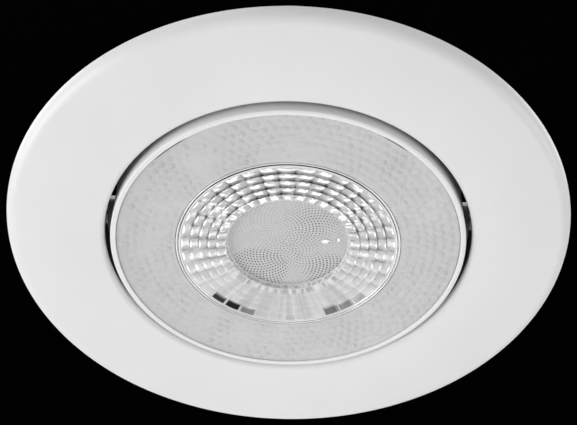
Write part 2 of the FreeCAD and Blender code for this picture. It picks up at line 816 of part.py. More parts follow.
save("trim_bezel", trim_bezel())
save("soffit_gasket", soffit_gasket())
save("pivot_pins", *[pivot_pin(side) for side in both])
save("pivot_washers", *[pivot_washer(side) for side in both])
save("clip_pins", *[clip_pin(side) for side in both])
for name, side in (("left", -1), ("right", 1)):
    save("clip_arm_" + name, clip_arm(side))
    save("clip_sleeve_" + name, clip_sleeve(side))
    save("clip_spring_" + name, clip_spring(side))

save("head_housing", head_housing())
save("lens_ring", lens_ring())
save("lens", lens())
save("lens_gasket", lens_gasket())
save("lens_tray", lens_tray())
save("thermal_pad", disc(pad_r, chamber_h - pad_t, chamber_h))
save("led_cob", box((cob_w, cob_w, cob_t), 0, 0, cob_z))
save("led_phosphor", disc(phosphor_r, cob_z - phosphor_t, cob_z))
save("cob_holder", cob_holder())
save("holder_screws", *[holder_screw(side) for side in both])
save("led_leads", *[led_lead(side) for side in both])
save("lead_grommet", lead_grommet())

driver_floor_z = deck_top + driver_floor
save("driver_housing", driver_housing())
save("housing_screws", *[screw(polar(deck_screw_at, angle), driver_floor_z, m3_head_r, m3_head_t, m3_r,
                               driver_floor + m3_bite, False) for angle in deck_screw_angles])
save("driver_board", driver_board())
save("board_screws", *[screw(polar(standoff_at, angle), board_top, m2_head_r, m2_head_t, m2_r,
                             board_t + standoff_h, False) for angle in standoff_angles])
save("cover_gasket", cover_gasket())
save("rear_cover", rear_cover())
save("cover_screws", *[screw(polar(cover_boss_at, angle), driver_top + cover_t - m2_head_t, m2_head_r,
                             m2_head_t, m2_r, m3_bite, False) for angle in cover_boss_angles])

save("terminal_block", terminal_block())
save("terminal_screws", *[terminal_screw(pole) for pole in range(terminal_poles)])
save("transformer", transformer())
save("bulk_capacitor", bulk_capacitor())
save("bridge_rectifier", box(rectifier_size, rectifier_xy[0], rectifier_xy[1], board_top))
save("fuse", fuse_tube())
save("output_choke", output_choke())
save("gland_body", gland_body())
save("gland_seal", gland_seal())
save("gland_nut", gland_nut())
save("gland_locknut", gland_locknut())
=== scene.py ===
import bmesh
import bpy
import math
from mathutils import Matrix, Vector


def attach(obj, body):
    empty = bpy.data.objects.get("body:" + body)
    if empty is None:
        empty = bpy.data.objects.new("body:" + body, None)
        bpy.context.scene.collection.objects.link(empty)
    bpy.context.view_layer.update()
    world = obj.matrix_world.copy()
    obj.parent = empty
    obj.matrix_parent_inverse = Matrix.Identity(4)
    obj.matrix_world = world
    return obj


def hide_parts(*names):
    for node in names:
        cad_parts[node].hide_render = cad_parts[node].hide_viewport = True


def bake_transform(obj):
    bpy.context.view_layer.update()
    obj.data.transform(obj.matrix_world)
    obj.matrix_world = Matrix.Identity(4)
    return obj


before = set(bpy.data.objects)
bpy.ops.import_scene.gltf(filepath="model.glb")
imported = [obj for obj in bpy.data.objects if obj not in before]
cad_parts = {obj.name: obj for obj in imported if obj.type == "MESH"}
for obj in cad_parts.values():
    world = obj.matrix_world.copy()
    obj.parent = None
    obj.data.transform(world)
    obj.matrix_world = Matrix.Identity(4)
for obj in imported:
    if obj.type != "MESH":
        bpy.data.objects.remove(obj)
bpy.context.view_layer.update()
mm = 0.001    # sizes below are in millimetres
print("frame:", len(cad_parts), "nodes")


def operator(operation, swapped=False, clamp=False):
    # a method that adds a Math node, with the other value in front where it is swapped
    def method(self, *others):
        values = (*others, self) if swapped else (self, *others)
        settings = {"operation": operation, "use_clamp": clamp}
        return self.bench.signal("ShaderNodeMath", settings, dict(enumerate(values)), 0)

    return method


class Signal:    # a node's socket that sums can be written on
    def __init__(self, bench, socket):
        self.bench = bench
        self.socket = socket

    __add__ = __radd__ = operator("ADD")
    __sub__ = operator("SUBTRACT")
    __rsub__ = operator("SUBTRACT", swapped=True)
    __mul__ = __rmul__ = operator("MULTIPLY")
    __truediv__ = operator("DIVIDE")
    __rtruediv__ = operator("DIVIDE", swapped=True)
    __pow__ = operator("POWER")
    __abs__ = operator("ABSOLUTE")
    floor = operator("FLOOR")
    fraction = operator("FRACT")
    most = operator("MAXIMUM")
    least = operator("MINIMUM")
    below = operator("LESS_THAN")
    sine = operator("SINE")
    cosine = operator("COSINE")
    arctangent = operator("ARCTAN2")
    ramp = operator("MULTIPLY_ADD", clamp=True)    # slope and start, kept between 0 and 1

    def above(self, edge, width):    # 0 below the edge, 1 above it, with a soft step
        return self.ramp(1 / width, 0.5 - edge / width)

    def within(self, middle, half, edge, width):    # 1 less than half away from the middle, with soft ends
        return (half - abs(self - middle)).above(edge, width)

    def reach(self, other):    # how far from 0 the two are together
        return (self * self + other * other) ** 0.5

    def bearing(self, x):    # the angle about Z of x and this, in degrees
        return self.arctangent(x) * (180 / math.pi)


class Bench:    # one node tree
    def __init__(self, tree):
        self.tree = tree
        tree.nodes.clear()

    def add(self, kind, settings=None, sockets=None):
        node = self.tree.nodes.new(kind)
        for name, value in (settings or {}).items():
            setattr(node, name, value)
        for name, value in (sockets or {}).items():
            if isinstance(value, Signal):
                value = value.socket
            if isinstance(value, bpy.types.NodeSocket):
                self.tree.links.new(value, node.inputs[name])
            else:
                node.inputs[name].default_value = value
        return node

    def signal(self, kind, settings, sockets, output):
        return Signal(self, self.add(kind, settings, sockets).outputs[output])

    def noise(self, place, size, detail=2.0, roughness=0.5):    # size in millimetres
        sockets = {"Vector": place, "Scale": 1 / (size * mm), "Detail": detail, "Roughness": roughness}
        return self.signal("ShaderNodeTexNoise", None, sockets, "Fac")

    def axes(self, place):
        parted = self.add("ShaderNodeSeparateXYZ", None, {0: place})
        return [Signal(self, socket) for socket in parted.outputs]

    def millimetres(self, place):
        return [axis / mm for axis in self.axes(place)]

    def vector(self, x, y, z):
        return self.add("ShaderNodeCombineXYZ", None, {0: x, 1: y, 2: z}).outputs[0]

    def blend(self, factor, first, second):    # a colour between two, where a plain number is a grey
        sockets = {0: factor, 6: paint(first), 7: paint(second)}
        return self.signal("ShaderNodeMix", {"data_type": "RGBA"}, sockets, 2)

    def bump(self, height, distance):    # distance in millimetres
        return self.signal("ShaderNodeBump", None, {"Height": height, "Distance": distance * mm}, "Normal")


def paint(level):    # a plain number becomes a grey, anything else stays as it is
    return (level, level, level, 1.0) if isinstance(level, float) else level


finishes = {}


def openFinish(name):
    finishes[name] = bpy.data.materials.new(name)
    finishes[name].use_nodes = True
    bench = Bench(finishes[name].node_tree)
    return bench, bench.add("ShaderNodeTexCoord").outputs["Object"]


def surface(bench, colour, rough, normal, others=()):
    sockets = {"Base Color": colour, "Roughness": rough, "Normal": normal}
    sockets.update(others)
    return bench.add("ShaderNodeBsdfPrincipled", None, sockets).outputs[0]


def closeFinish(bench, shader):
    bench.add("ShaderNodeOutputMaterial", None, {"Surface": shader})


plainSockets = ("Coat Weight", "Specular IOR Level", "Subsurface Weight")


def finish(name, look):
    # a finish with mottled colour, uneven gloss, a fine grain and, where asked, streaks from rolling
    bench, place = openFinish(name)
    scale = look.get("streak", (1, 1, 1))
    stretched = bench.signal("ShaderNodeMapping", None, {"Vector": place, "Scale": scale}, 0)
    cloud = bench.noise(place, look.get("cloud", 9), 3)
    grain = bench.noise(stretched, look.get("grain", 0.3), 4, 0.6)
    speck = bench.noise(place, look.get("speck", 0.9), 2)
    shade = cloud.above(0.5, 0.5) * 0.65 + speck.above(0.55, 0.3) * 0.35
    colour = bench.blend(shade, look["colour"], look["shade"])
    rough = look["rough"] + (grain - 0.5) * look.get("spread", 0.12)
    normal = bench.bump(grain, look.get("relief", 0.004))
    others = {socket: look[socket] for socket in plainSockets if socket in look}
    others["Metallic"] = look.get("metal", 0.0)
    closeFinish(bench, surface(bench, colour, rough, normal, others))


looks = {    # grain, cloud and speck are sizes in millimetres, as relief is
    "satinWhite": {"colour": 0.83, "shade": 0.80, "rough": 0.36, "grain": 0.35, "relief": 0.0035,
                   "spread": 0.08, "cloud": 14},
    "ringWhite": {"colour": 0.86, "shade": 0.83, "rough": 0.2, "grain": 0.5, "relief": 0.001,
                  "spread": 0.05},
    "trayWhite": {"colour": 0.90, "shade": 0.87, "rough": 0.5, "grain": 0.4, "relief": 0.003},
    "foamGrey": {"colour": 0.20, "shade": 0.12, "rough": 0.92, "grain": 0.35, "relief": 0.09, "speck": 0.4,
                 "spread": 0.05},
    "drivenSteel": {"colour": 0.56, "shade": 0.48, "rough": 0.3, "metal": 1.0, "grain": 0.25,
                    "relief": 0.003},
    "greyNylon": {"colour": 0.26, "shade": 0.22, "rough": 0.45, "Subsurface Weight": 0.1},
    "zincPlate": {"colour": (0.62, 0.63, 0.66, 1), "shade": (0.52, 0.54, 0.60, 1), "rough": 0.34,
                  "metal": 1.0, "grain": 0.5, "relief": 0.004, "streak": (1, 9, 1), "spread": 0.22},
    "springSteel": {"colour": (0.40, 0.40, 0.42, 1), "shade": (0.30, 0.30, 0.33, 1), "rough": 0.28,
                    "metal": 1.0, "grain": 0.4, "relief": 0.002},
    "blackRubber": {"colour": 0.030, "shade": 0.018, "rough": 0.72, "grain": 0.22, "relief": 0.012},
    "greyPlastic": {"colour": (0.36, 0.365, 0.375, 1), "shade": (0.33, 0.335, 0.345, 1), "rough": 0.5,
                    "grain": 0.28, "relief": 0.012, "spread": 0.1},
    "blackPlastic": {"colour": 0.035, "shade": 0.026, "rough": 0.46, "grain": 0.3, "relief": 0.01},
    "paleSilicone": {"colour": 0.62, "shade": 0.55, "rough": 0.5, "Subsurface Weight": 0.2},
    "padGrey": {"colour": (0.42, 0.44, 0.47, 1), "shade": (0.36, 0.38, 0.41, 1), "rough": 0.8,
                "grain": 0.2},
    "ceramicWhite": {"colour": 0.88, "shade": 0.84, "rough": 0.35, "Coat Weight": 0.2},
    "phosphorCream": {"colour": (0.80, 0.77, 0.68, 1), "shade": (0.75, 0.71, 0.61, 1), "rough": 0.4,
                      "Coat Weight": 0.3},
    "wireWhite": {"colour": 0.80, "shade": 0.75, "rough": 0.4},
    "boardGreen": {"colour": (0.012, 0.10, 0.035, 1), "shade": (0.009, 0.075, 0.026, 1), "rough": 0.32,
                   "Coat Weight": 0.3, "speck": 1.6},
    "terminalWhite": {"colour": 0.74, "shade": 0.70, "rough": 0.42},
    "brassBright": {"colour": (0.78, 0.58, 0.26, 1), "shade": (0.66, 0.46, 0.19, 1), "rough": 0.28,
                    "metal": 1.0},
    "ferriteGrey": {"colour": 0.06, "shade": 0.045, "rough": 0.6, "grain": 0.2, "relief": 0.01},
    "brightMark": {"colour": 0.95, "shade": 0.90, "rough": 0.06, "metal": 1.0, "spread": 0.04,
                   "relief": 0.0005},
    "canBlack": {"colour": 0.03, "shade": 0.022, "rough": 0.3},
    "fuseBrown": {"colour": (0.55, 0.43, 0.26, 1), "shade": (0.48, 0.36, 0.21, 1), "rough": 0.4},
}
for name, look in looks.items():
    finish(name, look)
print("finishes:", len(finishes))


# mesh helpers
def rounded(corners, steps=5):
    # the points of a closed outline, in millimetres, from (r, z) corners or (r, z, radius) rounded ones
    points = []
    for index, corner in enumerate(corners):
        here = Vector(corner[:2])
        radius = corner[2] if len(corner) > 2 else 0
        if not radius:
            points.append(here)
            continue
        back = (Vector(corners[index - 1][:2]) - here).normalized()
        ahead = (Vector(corners[(index + 1) % len(corners)][:2]) - here).normalized()
        half = back.angle(ahead) / 2
        centre = here + (back + ahead).normalized() * radius / math.sin(half)
        start = here + back * radius / math.tan(half) - centre
        sweep = start.angle_signed(here + ahead * radius / math.tan(half) - centre)
        for step in range(steps + 1):
            turn = -sweep * step / steps
            points.append(centre + Matrix.Rotation(turn, 2) @ start)
    return points


def arc(middle, reach, start, end, steps, flat=1.0):
    # points round the middle, from one angle to the other in degrees; flat scales the second direction
    (x, z), high = middle, reach * flat
    turns = [math.radians(start + (end - start) * step / steps) for step in range(steps + 1)]
    return [(x + reach * math.cos(turn), z + high * math.sin(turn)) for turn in turns]


def band(form, first, second):
    # faces between two rings of points, either of which can be a single point on the axis
    sides = max(len(first), len(second))
    for side in range(sides):
        after = (side + 1) % sides
        corners = (first[side % len(first)], first[after % len(first)],
                   second[after % len(second)], second[side % len(second)])
        loop = list(dict.fromkeys(corners))
        if len(loop) > 2:
            form.faces.new(loop)


def skinned(form, rings):
    # bands from each ring to the next and back to the first
    for first, second in zip(rings, rings[1:] + rings[:1]):
        band(form, first, second)
    bmesh.ops.recalc_face_normals(form, faces=form.faces)
    return form


def turned(corners, sides=192, steps=5):
    # a closed outline of (r, z) or (r, z, radius) corners turned about Z
    form = bmesh.new()
    angles = [2 * math.pi * side / sides for side in range(sides)]
    rings = []
    for r, z in rounded(corners, steps):
        turns = angles if r > 1e-5 else angles[:1]
        rings.append([form.verts.new((r * mm * math.cos(a), r * mm * math.sin(a), z * mm)) for a in turns])
    return skinned(form, rings)


def slab(outline, low, high, bevel=0.0, segments=2):
    # a closed outline in XZ, pushed along Y from low to high, with its edges eased
    form = bmesh.new()
    near, far = [[form.verts.new((x * mm, y * mm, z * mm)) for x, z in outline] for y in (low, high)]
    form.faces.new(near)
    form.faces.new(far[::-1])
    for index in range(len(outline)):
        after = (index + 1) % len(outline)
        form.faces.new((near[index], far[index], far[after], near[after]))
    bmesh.ops.recalc_face_normals(form, faces=form.faces)
    if bevel:
        sharp = [edge for edge in form.edges if edge.calc_face_angle(0) > math.radians(30)]
        bmesh.ops.bevel(form, geom=sharp, offset=bevel * mm, segments=segments, affect="EDGES",
                        profile=0.5, clamp_overlap=True)
    return form


def joined(*forms):
    whole = bmesh.new()
    for form in forms:
        carrier = bpy.data.meshes.new("carrier")
        form.to_mesh(carrier)
        whole.from_mesh(carrier)
        form.free()
        bpy.data.meshes.remove(carrier)
    return whole


def moved(form, matrix):
    form.transform(matrix)
    if matrix.determinant() < 0:
        bmesh.ops.reverse_faces(form, faces=form.faces)
    return form


alongX = Matrix.Rotation(math.radians(90), 4, "Y")
alongY = Matrix.Rotation(math.radians(-90), 4, "X")
otherSide = Matrix.Scale(-1, 4, (1, 0, 0))


def onSide(form, side):    # as it is on the right, side 1, and mirrored on the left, side -1
    return moved(form, otherSide) if side < 0 else form


def shift(x, y, z):
    return Matrix.Translation((x * mm, y * mm, z * mm))


def asObject(name, form, finishName):
    mesh = bpy.data.meshes.new(name)
    form.to_mesh(mesh)
    form.free()
    made = bpy.data.objects.new(name, mesh)
    bpy.context.scene.collection.objects.link(made)
    mesh.materials.append(finishes[finishName])
    return made


def opened(made):
    form = bmesh.new()
    form.from_mesh(made.data)
    return form


def mended(made, form):
    # merges doubled points, turns the faces outwards and gives the object the form
    bmesh.ops.remove_doubles(form, verts=form.verts, dist=1e-7)
    bmesh.ops.recalc_face_normals(form, faces=form.faces)
    form.to_mesh(made.data)
    form.free()


def cutOut(target, *tools):
    # takes the tools' forms out of the target's mesh
    for tool in tools:
        cutter = asObject("cutter", tool, target.data.materials[0].name)
        modifier = target.modifiers.new("cut", "BOOLEAN")
        modifier.object = cutter
        modifier.solver = "EXACT"
        settled(target)
        bpy.data.objects.remove(cutter)


def settled(target):
    # turns what the modifiers make into the object's own mesh
    graph = bpy.context.evaluated_depsgraph_get()
    graph.update()
    mesh = bpy.data.meshes.new_from_object(target.evaluated_get(graph), depsgraph=graph)
    target.modifiers.clear()
    target.data = mesh
    return target


def piece(made, body, *nodes, sharp=35):
    # smooths the faces, keeps edges sharper than the angle, and sets the piece on its body
    for polygon in made.data.polygons:
        polygon.use_smooth = True
    made.data.set_sharp_from_angle(angle=math.radians(sharp))
    if body:
        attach(made, body)
    if nodes:
        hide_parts(*nodes)


def withNodes(target, group, **values):
    # runs a node group on the object, its inputs given by name, and keeps the result as a plain mesh
    values["Material"] = target.data.materials[0]
    modifier = target.modifiers.new(group.name, "NODES")
    modifier.node_group = group
    for item in group.interface.items_tree:
        if item.item_type == "SOCKET" and item.in_out == "INPUT" and item.name in values:
            modifier[item.identifier] = values[item.name]
    return settled(target)


def openGroup(name, numbers):
    # a geometry group with Geometry, Material and the named numbers, each given by its default
    group = bpy.data.node_groups.new(name, "GeometryNodeTree")
    bench = Bench(group)
    group.interface.new_socket("Geometry", in_out="INPUT", socket_type="NodeSocketGeometry")
    for label, default in numbers.items():
        kind = "NodeSocketInt" if isinstance(default, int) else "NodeSocketFloat"
        group.interface.new_socket(label, in_out="INPUT", socket_type=kind).default_value = default
    group.interface.new_socket("Material", in_out="INPUT", socket_type="NodeSocketMaterial")
    group.interface.new_socket("Geometry", in_out="OUTPUT", socket_type="NodeSocketGeometry")
    given = bench.add("NodeGroupInput").outputs
    return group, bench, given, {label: Signal(bench, given[label]) for label in numbers}


def closeGroup(bench, geometry, given):
    realized = bench.add("GeometryNodeRealizeInstances", None, {0: geometry})
    painted = bench.add("GeometryNodeSetMaterial", None,
                        {"Geometry": realized.outputs[0], "Material": given["Material"]})
    bench.add("NodeGroupOutput", None, {0: painted.outputs[0]})


def copies(bench, given, count, place=(0, 0, 0), facing=(0, 0, 0)):
    # the object's own mesh, set at so many points
    points = bench.add("GeometryNodePoints", None, {"Count": count, "Position": place})
    return bench.add("GeometryNodeInstanceOnPoints", None, {
        "Points": points.outputs[0], "Instance": given["Geometry"], "Rotation": facing}).outputs[0]


def ringGroup():
    # copies of the object's own mesh, evenly round Z
    group, bench, given, value = openGroup("copiesRoundAxis", {"Count": 12, "First Angle": 0.0})
    index = bench.signal("GeometryNodeInputIndex", None, None, 0)
    turn = index / value["Count"] * (2 * math.pi) + value["First Angle"]
    facing = bench.add("FunctionNodeEulerToRotation", None, {0: bench.vector(0.0, 0.0, turn)})
    closeGroup(bench, copies(bench, given, value["Count"], facing=facing.outputs[0]), given)
    return group


copiesRoundAxis = ringGroup()


# camera and light
cameraView = {"distance": 225.0, "elevation": 45.81, "pitch": 1.018, "yaw": 0.006, "roll": 1.09, "lens": 87.0}


def makeCamera():
    view = cameraView
    tilts = ((90 + view["elevation"] + view["pitch"], "X"), (view["yaw"], "Y"), (view["roll"], "Z"))
    facing = Matrix.Identity(4)
    for degrees, axis in tilts:    # each about the camera's own axis
        facing = facing @ Matrix.Rotation(math.radians(degrees), 4, axis)
    slope = math.radians(view["elevation"])
    spot = Vector((0, -math.cos(slope), -math.sin(slope))) * view["distance"] * mm
    data = bpy.data.cameras.new("photoCamera")
    data.lens = view["lens"]
    data.sensor_width = 36
    data.clip_start, data.clip_end = 0.01, 20
    camera = bpy.data.objects.new("photoCamera", data)
    camera.matrix_world = Matrix.Translation(spot) @ facing
    bpy.context.scene.collection.objects.link(camera)
    bpy.context.scene.camera = camera


stage = {"floorZ": -0.34, "floorHalf": 2.5, "curlFrom": 1.75, "curl": 0.25, "backZ": 0.50,
         "backY": (0.20, 0.95), "backHalf": 0.42}    # in metres, as the lamps are
stageLooks = {
    "palePaper": {"colour": 0.74, "shade": 0.70, "rough": 0.8, "cloud": 180, "speck": 12, "grain": 2,
                  "relief": 0.02},
    "darkCloth": {"colour": 0.0012, "shade": 0.0008, "rough": 1.0, "cloud": 60, "grain": 3,
                  "Specular IOR Level": 0.0},
}


def makeStage():
    for name, look in stageLooks.items():
        finish(name, look)
    floor = bmesh.new()
    bmesh.ops.create_grid(floor, x_segments=24, y_segments=24, size=stage["floorHalf"])
    for vert in floor.verts:    # the floor curls up far away
        vert.co.z = stage["floorZ"] + stage["curl"] * max(0.0, vert.co.length - stage["curlFrom"]) ** 2
    (near, far), side, z = stage["backY"], stage["backHalf"], stage["backZ"]
    back = bmesh.new()
    corners = [(-side, near, z), (side, near, z), (side, far, z), (-side, far, z)]
    back.faces.new([back.verts.new(corner) for corner in corners])
    bmesh.ops.subdivide_edges(back, edges=back.edges, cuts=6, use_grid_fill=True)
    asObject("studioFloor", floor, "palePaper")
    asObject("darkBackdrop", back, "darkCloth")


airStrength = 0.49
lamps = {
    "leftSoft": {"at": (-0.36, -0.02, -0.16), "aim": (-0.05, 0, 0), "size": 0.30, "watts": 0.85},
    "rightSoft": {"at": (0.46, 0.03, -0.18), "aim": (0.02, 0, 0), "size": 0.30, "watts": 0.52},
    "nearSoft": {"at": (0.0, -0.30, -0.32), "aim": (0, 0, 0), "size": 0.35, "watts": 0.20},
    "farSoft": {"at": (0.0, 0.50, -0.14), "aim": (0, 0, 0), "size": 0.15, "watts": 0.105},
    "farLeft": {"at": (-0.21, 0.34, -0.30), "aim": (0, 0, 0), "size": 0.16, "watts": 0.075},
    "farRight": {"at": (0.21, 0.34, -0.30), "aim": (0, 0, 0), "size": 0.16, "watts": 0.085},
    "glint": {"at": (0.016, 0.279, -0.289), "aim": (0.006, 0, 0), "size": 0.13, "watts": 0.09},
    "topSoft": {"at": (-0.35, -0.60, 0.60), "aim": (0, 0, 0.02), "size": 0.45, "watts": 0.9},
    "backLeft": {"at": (-0.70, 0.16, 0.55), "aim": (0, 0, 0.02), "size": 0.45, "watts": 1.4},
    "backRight": {"at": (0.70, 0.22, 0.55), "aim": (0, 0, 0.02), "size": 0.45, "watts": 1.2},
}


def makeLights():
    world = bpy.data.worlds.new("studioAir")
    bpy.context.scene.world = world
    world.use_nodes = True
    bench = Bench(world.node_tree)
    air = bench.add("ShaderNodeBackground", None, {"Color": paint(1.0), "Strength": airStrength})
    bench.add("ShaderNodeOutputWorld", None, {"Surface": air.outputs[0]})
    for name, lamp in lamps.items():
        data = bpy.data.lights.new(name, "AREA")
        data.shape = "DISK"
        data.size = lamp["size"]
        data.energy = lamp["watts"]
        made = bpy.data.objects.new(name, data)
        spot = Vector(lamp["at"])
        facing = (Vector(lamp["aim"]) - spot).to_track_quat("-Z", "Y")
        made.matrix_world = Matrix.Translation(spot) @ facing.to_matrix().to_4x4()
        bpy.context.scene.collection.objects.link(made)
    bpy.context.scene.view_settings.view_transform = "Standard"


makeCamera()
makeStage()
makeLights()
print("camera, stage and lights")


# bezel, its collar and its clip hinges
bezel = {"edge": 45.0, "thick": 2.3, "edgeRound": 1.9, "crown": 0.2, "lip": 29.4, "lipRound": 0.8,
         "lipDeep": 1.4, "bore": 29.8, "borePaintedShade": 0.035, "collar": 31.8, "collarTop": 9.9,
         "groove": (37.0, 41.2), "grooveDeep": 0.9, "ease": 0.25, "hingeX": 32.8, "hingeZ": 12.4, "lug": 2.2,
         "lugY": (4.9, 6.5), "lugFoot": 30.2}


def bezelFace():
    # the visible face, from the outer edge over a slight crown to the rounded lip
    b = bezel
    outer, inner = b["edge"] - b["edgeRound"], b["lip"] + b["lipRound"]
    points = arc((outer, b["edgeRound"] - b["thick"]), b["edgeRound"], 0, -90, 12)
    for step in range(1, 24):
        share = step / 24
        points.append((outer + (inner - outer) * share, -b["thick"] - b["crown"] * 4 * share * (1 - share)))
    return points + arc((inner, b["lipRound"] - b["thick"]), b["lipRound"], -90, -180, 8)


def boreFinish():
    # the face's white coat, with painted shade inside the bore behind the lip
    bench, place = openFinish("bezelWhite")
    x, y, z = bench.millimetres(place)
    look = looks["satinWhite"]
    cloud = bench.noise(place, look["cloud"], 3)
    grain = bench.noise(place, look["grain"], 4, 0.6)
    inside = 1 - x.reach(y).above(bezel["bore"] + 0.12, 0.1)
    inside = inside * z.above(bezel["lipDeep"] - bezel["thick"], 0.5)
    inside = inside * (1 - z.above(bezel["collarTop"] - 1.2, 1.6))
    colour = bench.blend(cloud.above(0.5, 0.5), look["colour"], look["shade"])
    # painted shade inside the bore
    colour = bench.blend(inside, colour, bezel["borePaintedShade"])
    rough = look["rough"] + (grain - 0.5) * look["spread"]
    closeFinish(bench, surface(bench, colour, rough, bench.bump(grain, look["relief"])))


def makeBezel():
    b = bezel
    boreFinish()
    bore, collar, (near, far), ease = b["bore"], b["collar"], b["groove"], b["ease"]
    lipTop = b["lipDeep"] - b["thick"]
    low, top = -b["grooveDeep"], b["collarTop"]
    behind = [(b["lip"], lipTop, 0.1), (bore, lipTop + 0.4, 0.1), (bore, top, ease), (collar, top, ease),
              (collar, 0, ease), (near, 0, 0.1), (near, low, 0.1), (far, low, 0.1), (far, 0, 0.1),
              (b["edge"], 0, 0.15)]
    plate = asObject("bezelRing", turned(bezelFace() + behind, 256), "bezelWhite")
    piece(plate, "trim", "trim_bezel", sharp=50)
    hinge, lug, inner = (b["hingeX"], b["hingeZ"]), b["lug"], b["lugFoot"] - 0.6
    arch = [(inner, -0.2), (hinge[0] + lug, -0.2)] + arc(hinge, lug, 0, 90, 12) + [(inner, hinge[1] + lug)]
    start, end = b["lugY"]
    cheeks = [onSide(slab(arch, low, high, 0.22), side)
              for side in (1, -1) for low, high in ((start, end), (-end, -start))]
    piece(asObject("hingeCheeks", joined(*cheeks), "satinWhite"), "trim")


makeBezel()

gasket = {"rim": (37.05, 41.15), "z": (-0.9, 0.5), "ease": 0.35}


def makeGasket():
    (inner, outer), (low, high), ease = gasket["rim"], gasket["z"], gasket["ease"]
    form = turned([(inner, low, 0.1), (outer, low, 0.1), (outer, high, ease), (inner, high, ease)], 180)
    piece(asObject("foamSeal", form, "foamGrey"), "trim", "soffit_gasket")


makeGasket()

pivot = {"z": 4.2, "pin": 1.5, "inner": 24.71, "collar": 31.8, "head": 2.4, "headThick": 1.4,
         "washer": (1.52, 2.8), "washerX": (28.41, 29.21)}


def makePivots():
    p = pivot
    top = p["collar"] + p["headThick"]
    end, foot, shank, wide = p["inner"], p["collar"], p["pin"], p["head"]
    pin = [(0, end), (shank, end, 0.3), (shank, foot), (wide, foot, 0.1), (wide, top, 0.6), (1.1, top, 0.1),
           (0.8, top - 0.35, 0.15), (0, top - 0.35)]
    (hole, rim), (near, far) = p["washer"], p["washerX"]
    washer = [(hole, near, 0.12), (rim, near, 0.15), (rim, far, 0.15), (hole, far, 0.12)]
    for label, outline, finishName, node in (("pivotPins", pin, "drivenSteel", "pivot_pins"),
                                             ("pivotWashers", washer, "greyNylon", "pivot_washers")):
        forms = [onSide(moved(turned(outline, 64), shift(0, 0, p["z"]) @ alongX), side) for side in (1, -1)]
        piece(asObject(label, joined(*forms), finishName), "trim", node)


makePivots()
print("bezel, seal and pivots")


# tilting head
head = {"sphere": 28.3, "pivotZ": 4.2, "spigot": 27.9, "spigotTop": 1.2, "chamber": 25.3,
        "chamberTop": 8.5, "floor": 11.5, "deck": 21.0, "deckTop": 21.0, "core": 11.5, "fins": 24,
        "finTop": 18.4, "finThick": 1.4, "washerFlat": 3.1, "flatX": 28.11, "pinBore": 1.56,
        "pinBoreX": (24.3, 29.5)}


def sphereAt(z):
    return math.sqrt(head["sphere"] ** 2 - (z - head["pivotZ"]) ** 2)


def makeHead():
    h = head
    floor, low, top, core = h["floor"], h["finTop"], h["deckTop"], h["core"]
    steps = [h["spigotTop"] + (floor - h["spigotTop"]) * step / 18 for step in range(1, 18)]
    wide, foot, inside, roof = h["spigot"], h["spigotTop"], h["chamber"], h["chamberTop"]
    outline = [(inside, 0, 0.2), (wide, 0, 0.15), (wide, foot), (sphereAt(foot), foot, 0.12)]
    outline += [(sphereAt(z), z) for z in steps]
    outline += [(sphereAt(floor), floor, 0.25), (0, floor), (0, roof), (inside, roof, 0.6)]
    shell = asObject("headShell", turned(outline, 256), "satinWhite")
    wide, seat, (start, end) = h["washerFlat"], h["flatX"], h["pinBoreX"]
    flat = [(0, seat), (wide, seat, 0.15), (wide, seat + 2), (0, seat + 2)]
    bore = [(0, start), (h["pinBore"], start), (h["pinBore"], end), (0, end)]
    place = shift(0, 0, h["pivotZ"]) @ alongX
    for side in (1, -1):
        for shape in (flat, bore):
            cutOut(shell, onSide(moved(turned(shape, 48), place), side))
    piece(shell, "head", "head_housing", sharp=30)
    start, end = floor - 0.2, low + 0.2
    steps = [start + (end - start) * step / 8 for step in range(9)]
    fin = [(sphereAt(z) - 0.08, z) for z in steps] + [(core - 0.6, end), (core - 0.6, start)]
    blade = asObject("coolingFins", slab(fin, -h["finThick"] / 2, h["finThick"] / 2, 0.3, 3), "satinWhite")
    withNodes(blade, copiesRoundAxis, **{"Count": h["fins"], "First Angle": math.radians(180 / h["fins"])})
    piece(blade, "head", sharp=40)
    deck = turned([(0, low), (h["deck"], low, 0.35), (h["deck"], top, 0.35), (0, top)], 192)
    stem = turned([(0, floor - 0.3), (core, floor - 0.3), (core, low + 0.3), (0, low + 0.3)], 128)
    piece(asObject("driverDeck", joined(deck, stem), "satinWhite"), "head")


makeHead()

ring = {"front": -2.7, "outer": 28.4, "lip": 27.5, "lipThick": 0.6, "inner": 27.95, "top": 1.2, "ease": 0.22}


def makeLensRing():
    r = ring
    lipTop = r["front"] + r["lipThick"]
    outline = [(r["lip"], r["front"], 0.15), (r["outer"], r["front"], r["ease"]), (r["outer"], r["top"], 0.1),
               (r["inner"], r["top"], 0.05), (r["inner"], lipTop, 0.05), (r["lip"], lipTop, 0.1)]
    piece(asObject("lensRing", turned(outline, 256), "ringWhite"), "head", "lens_ring", sharp=50)


makeLensRing()
print("head")


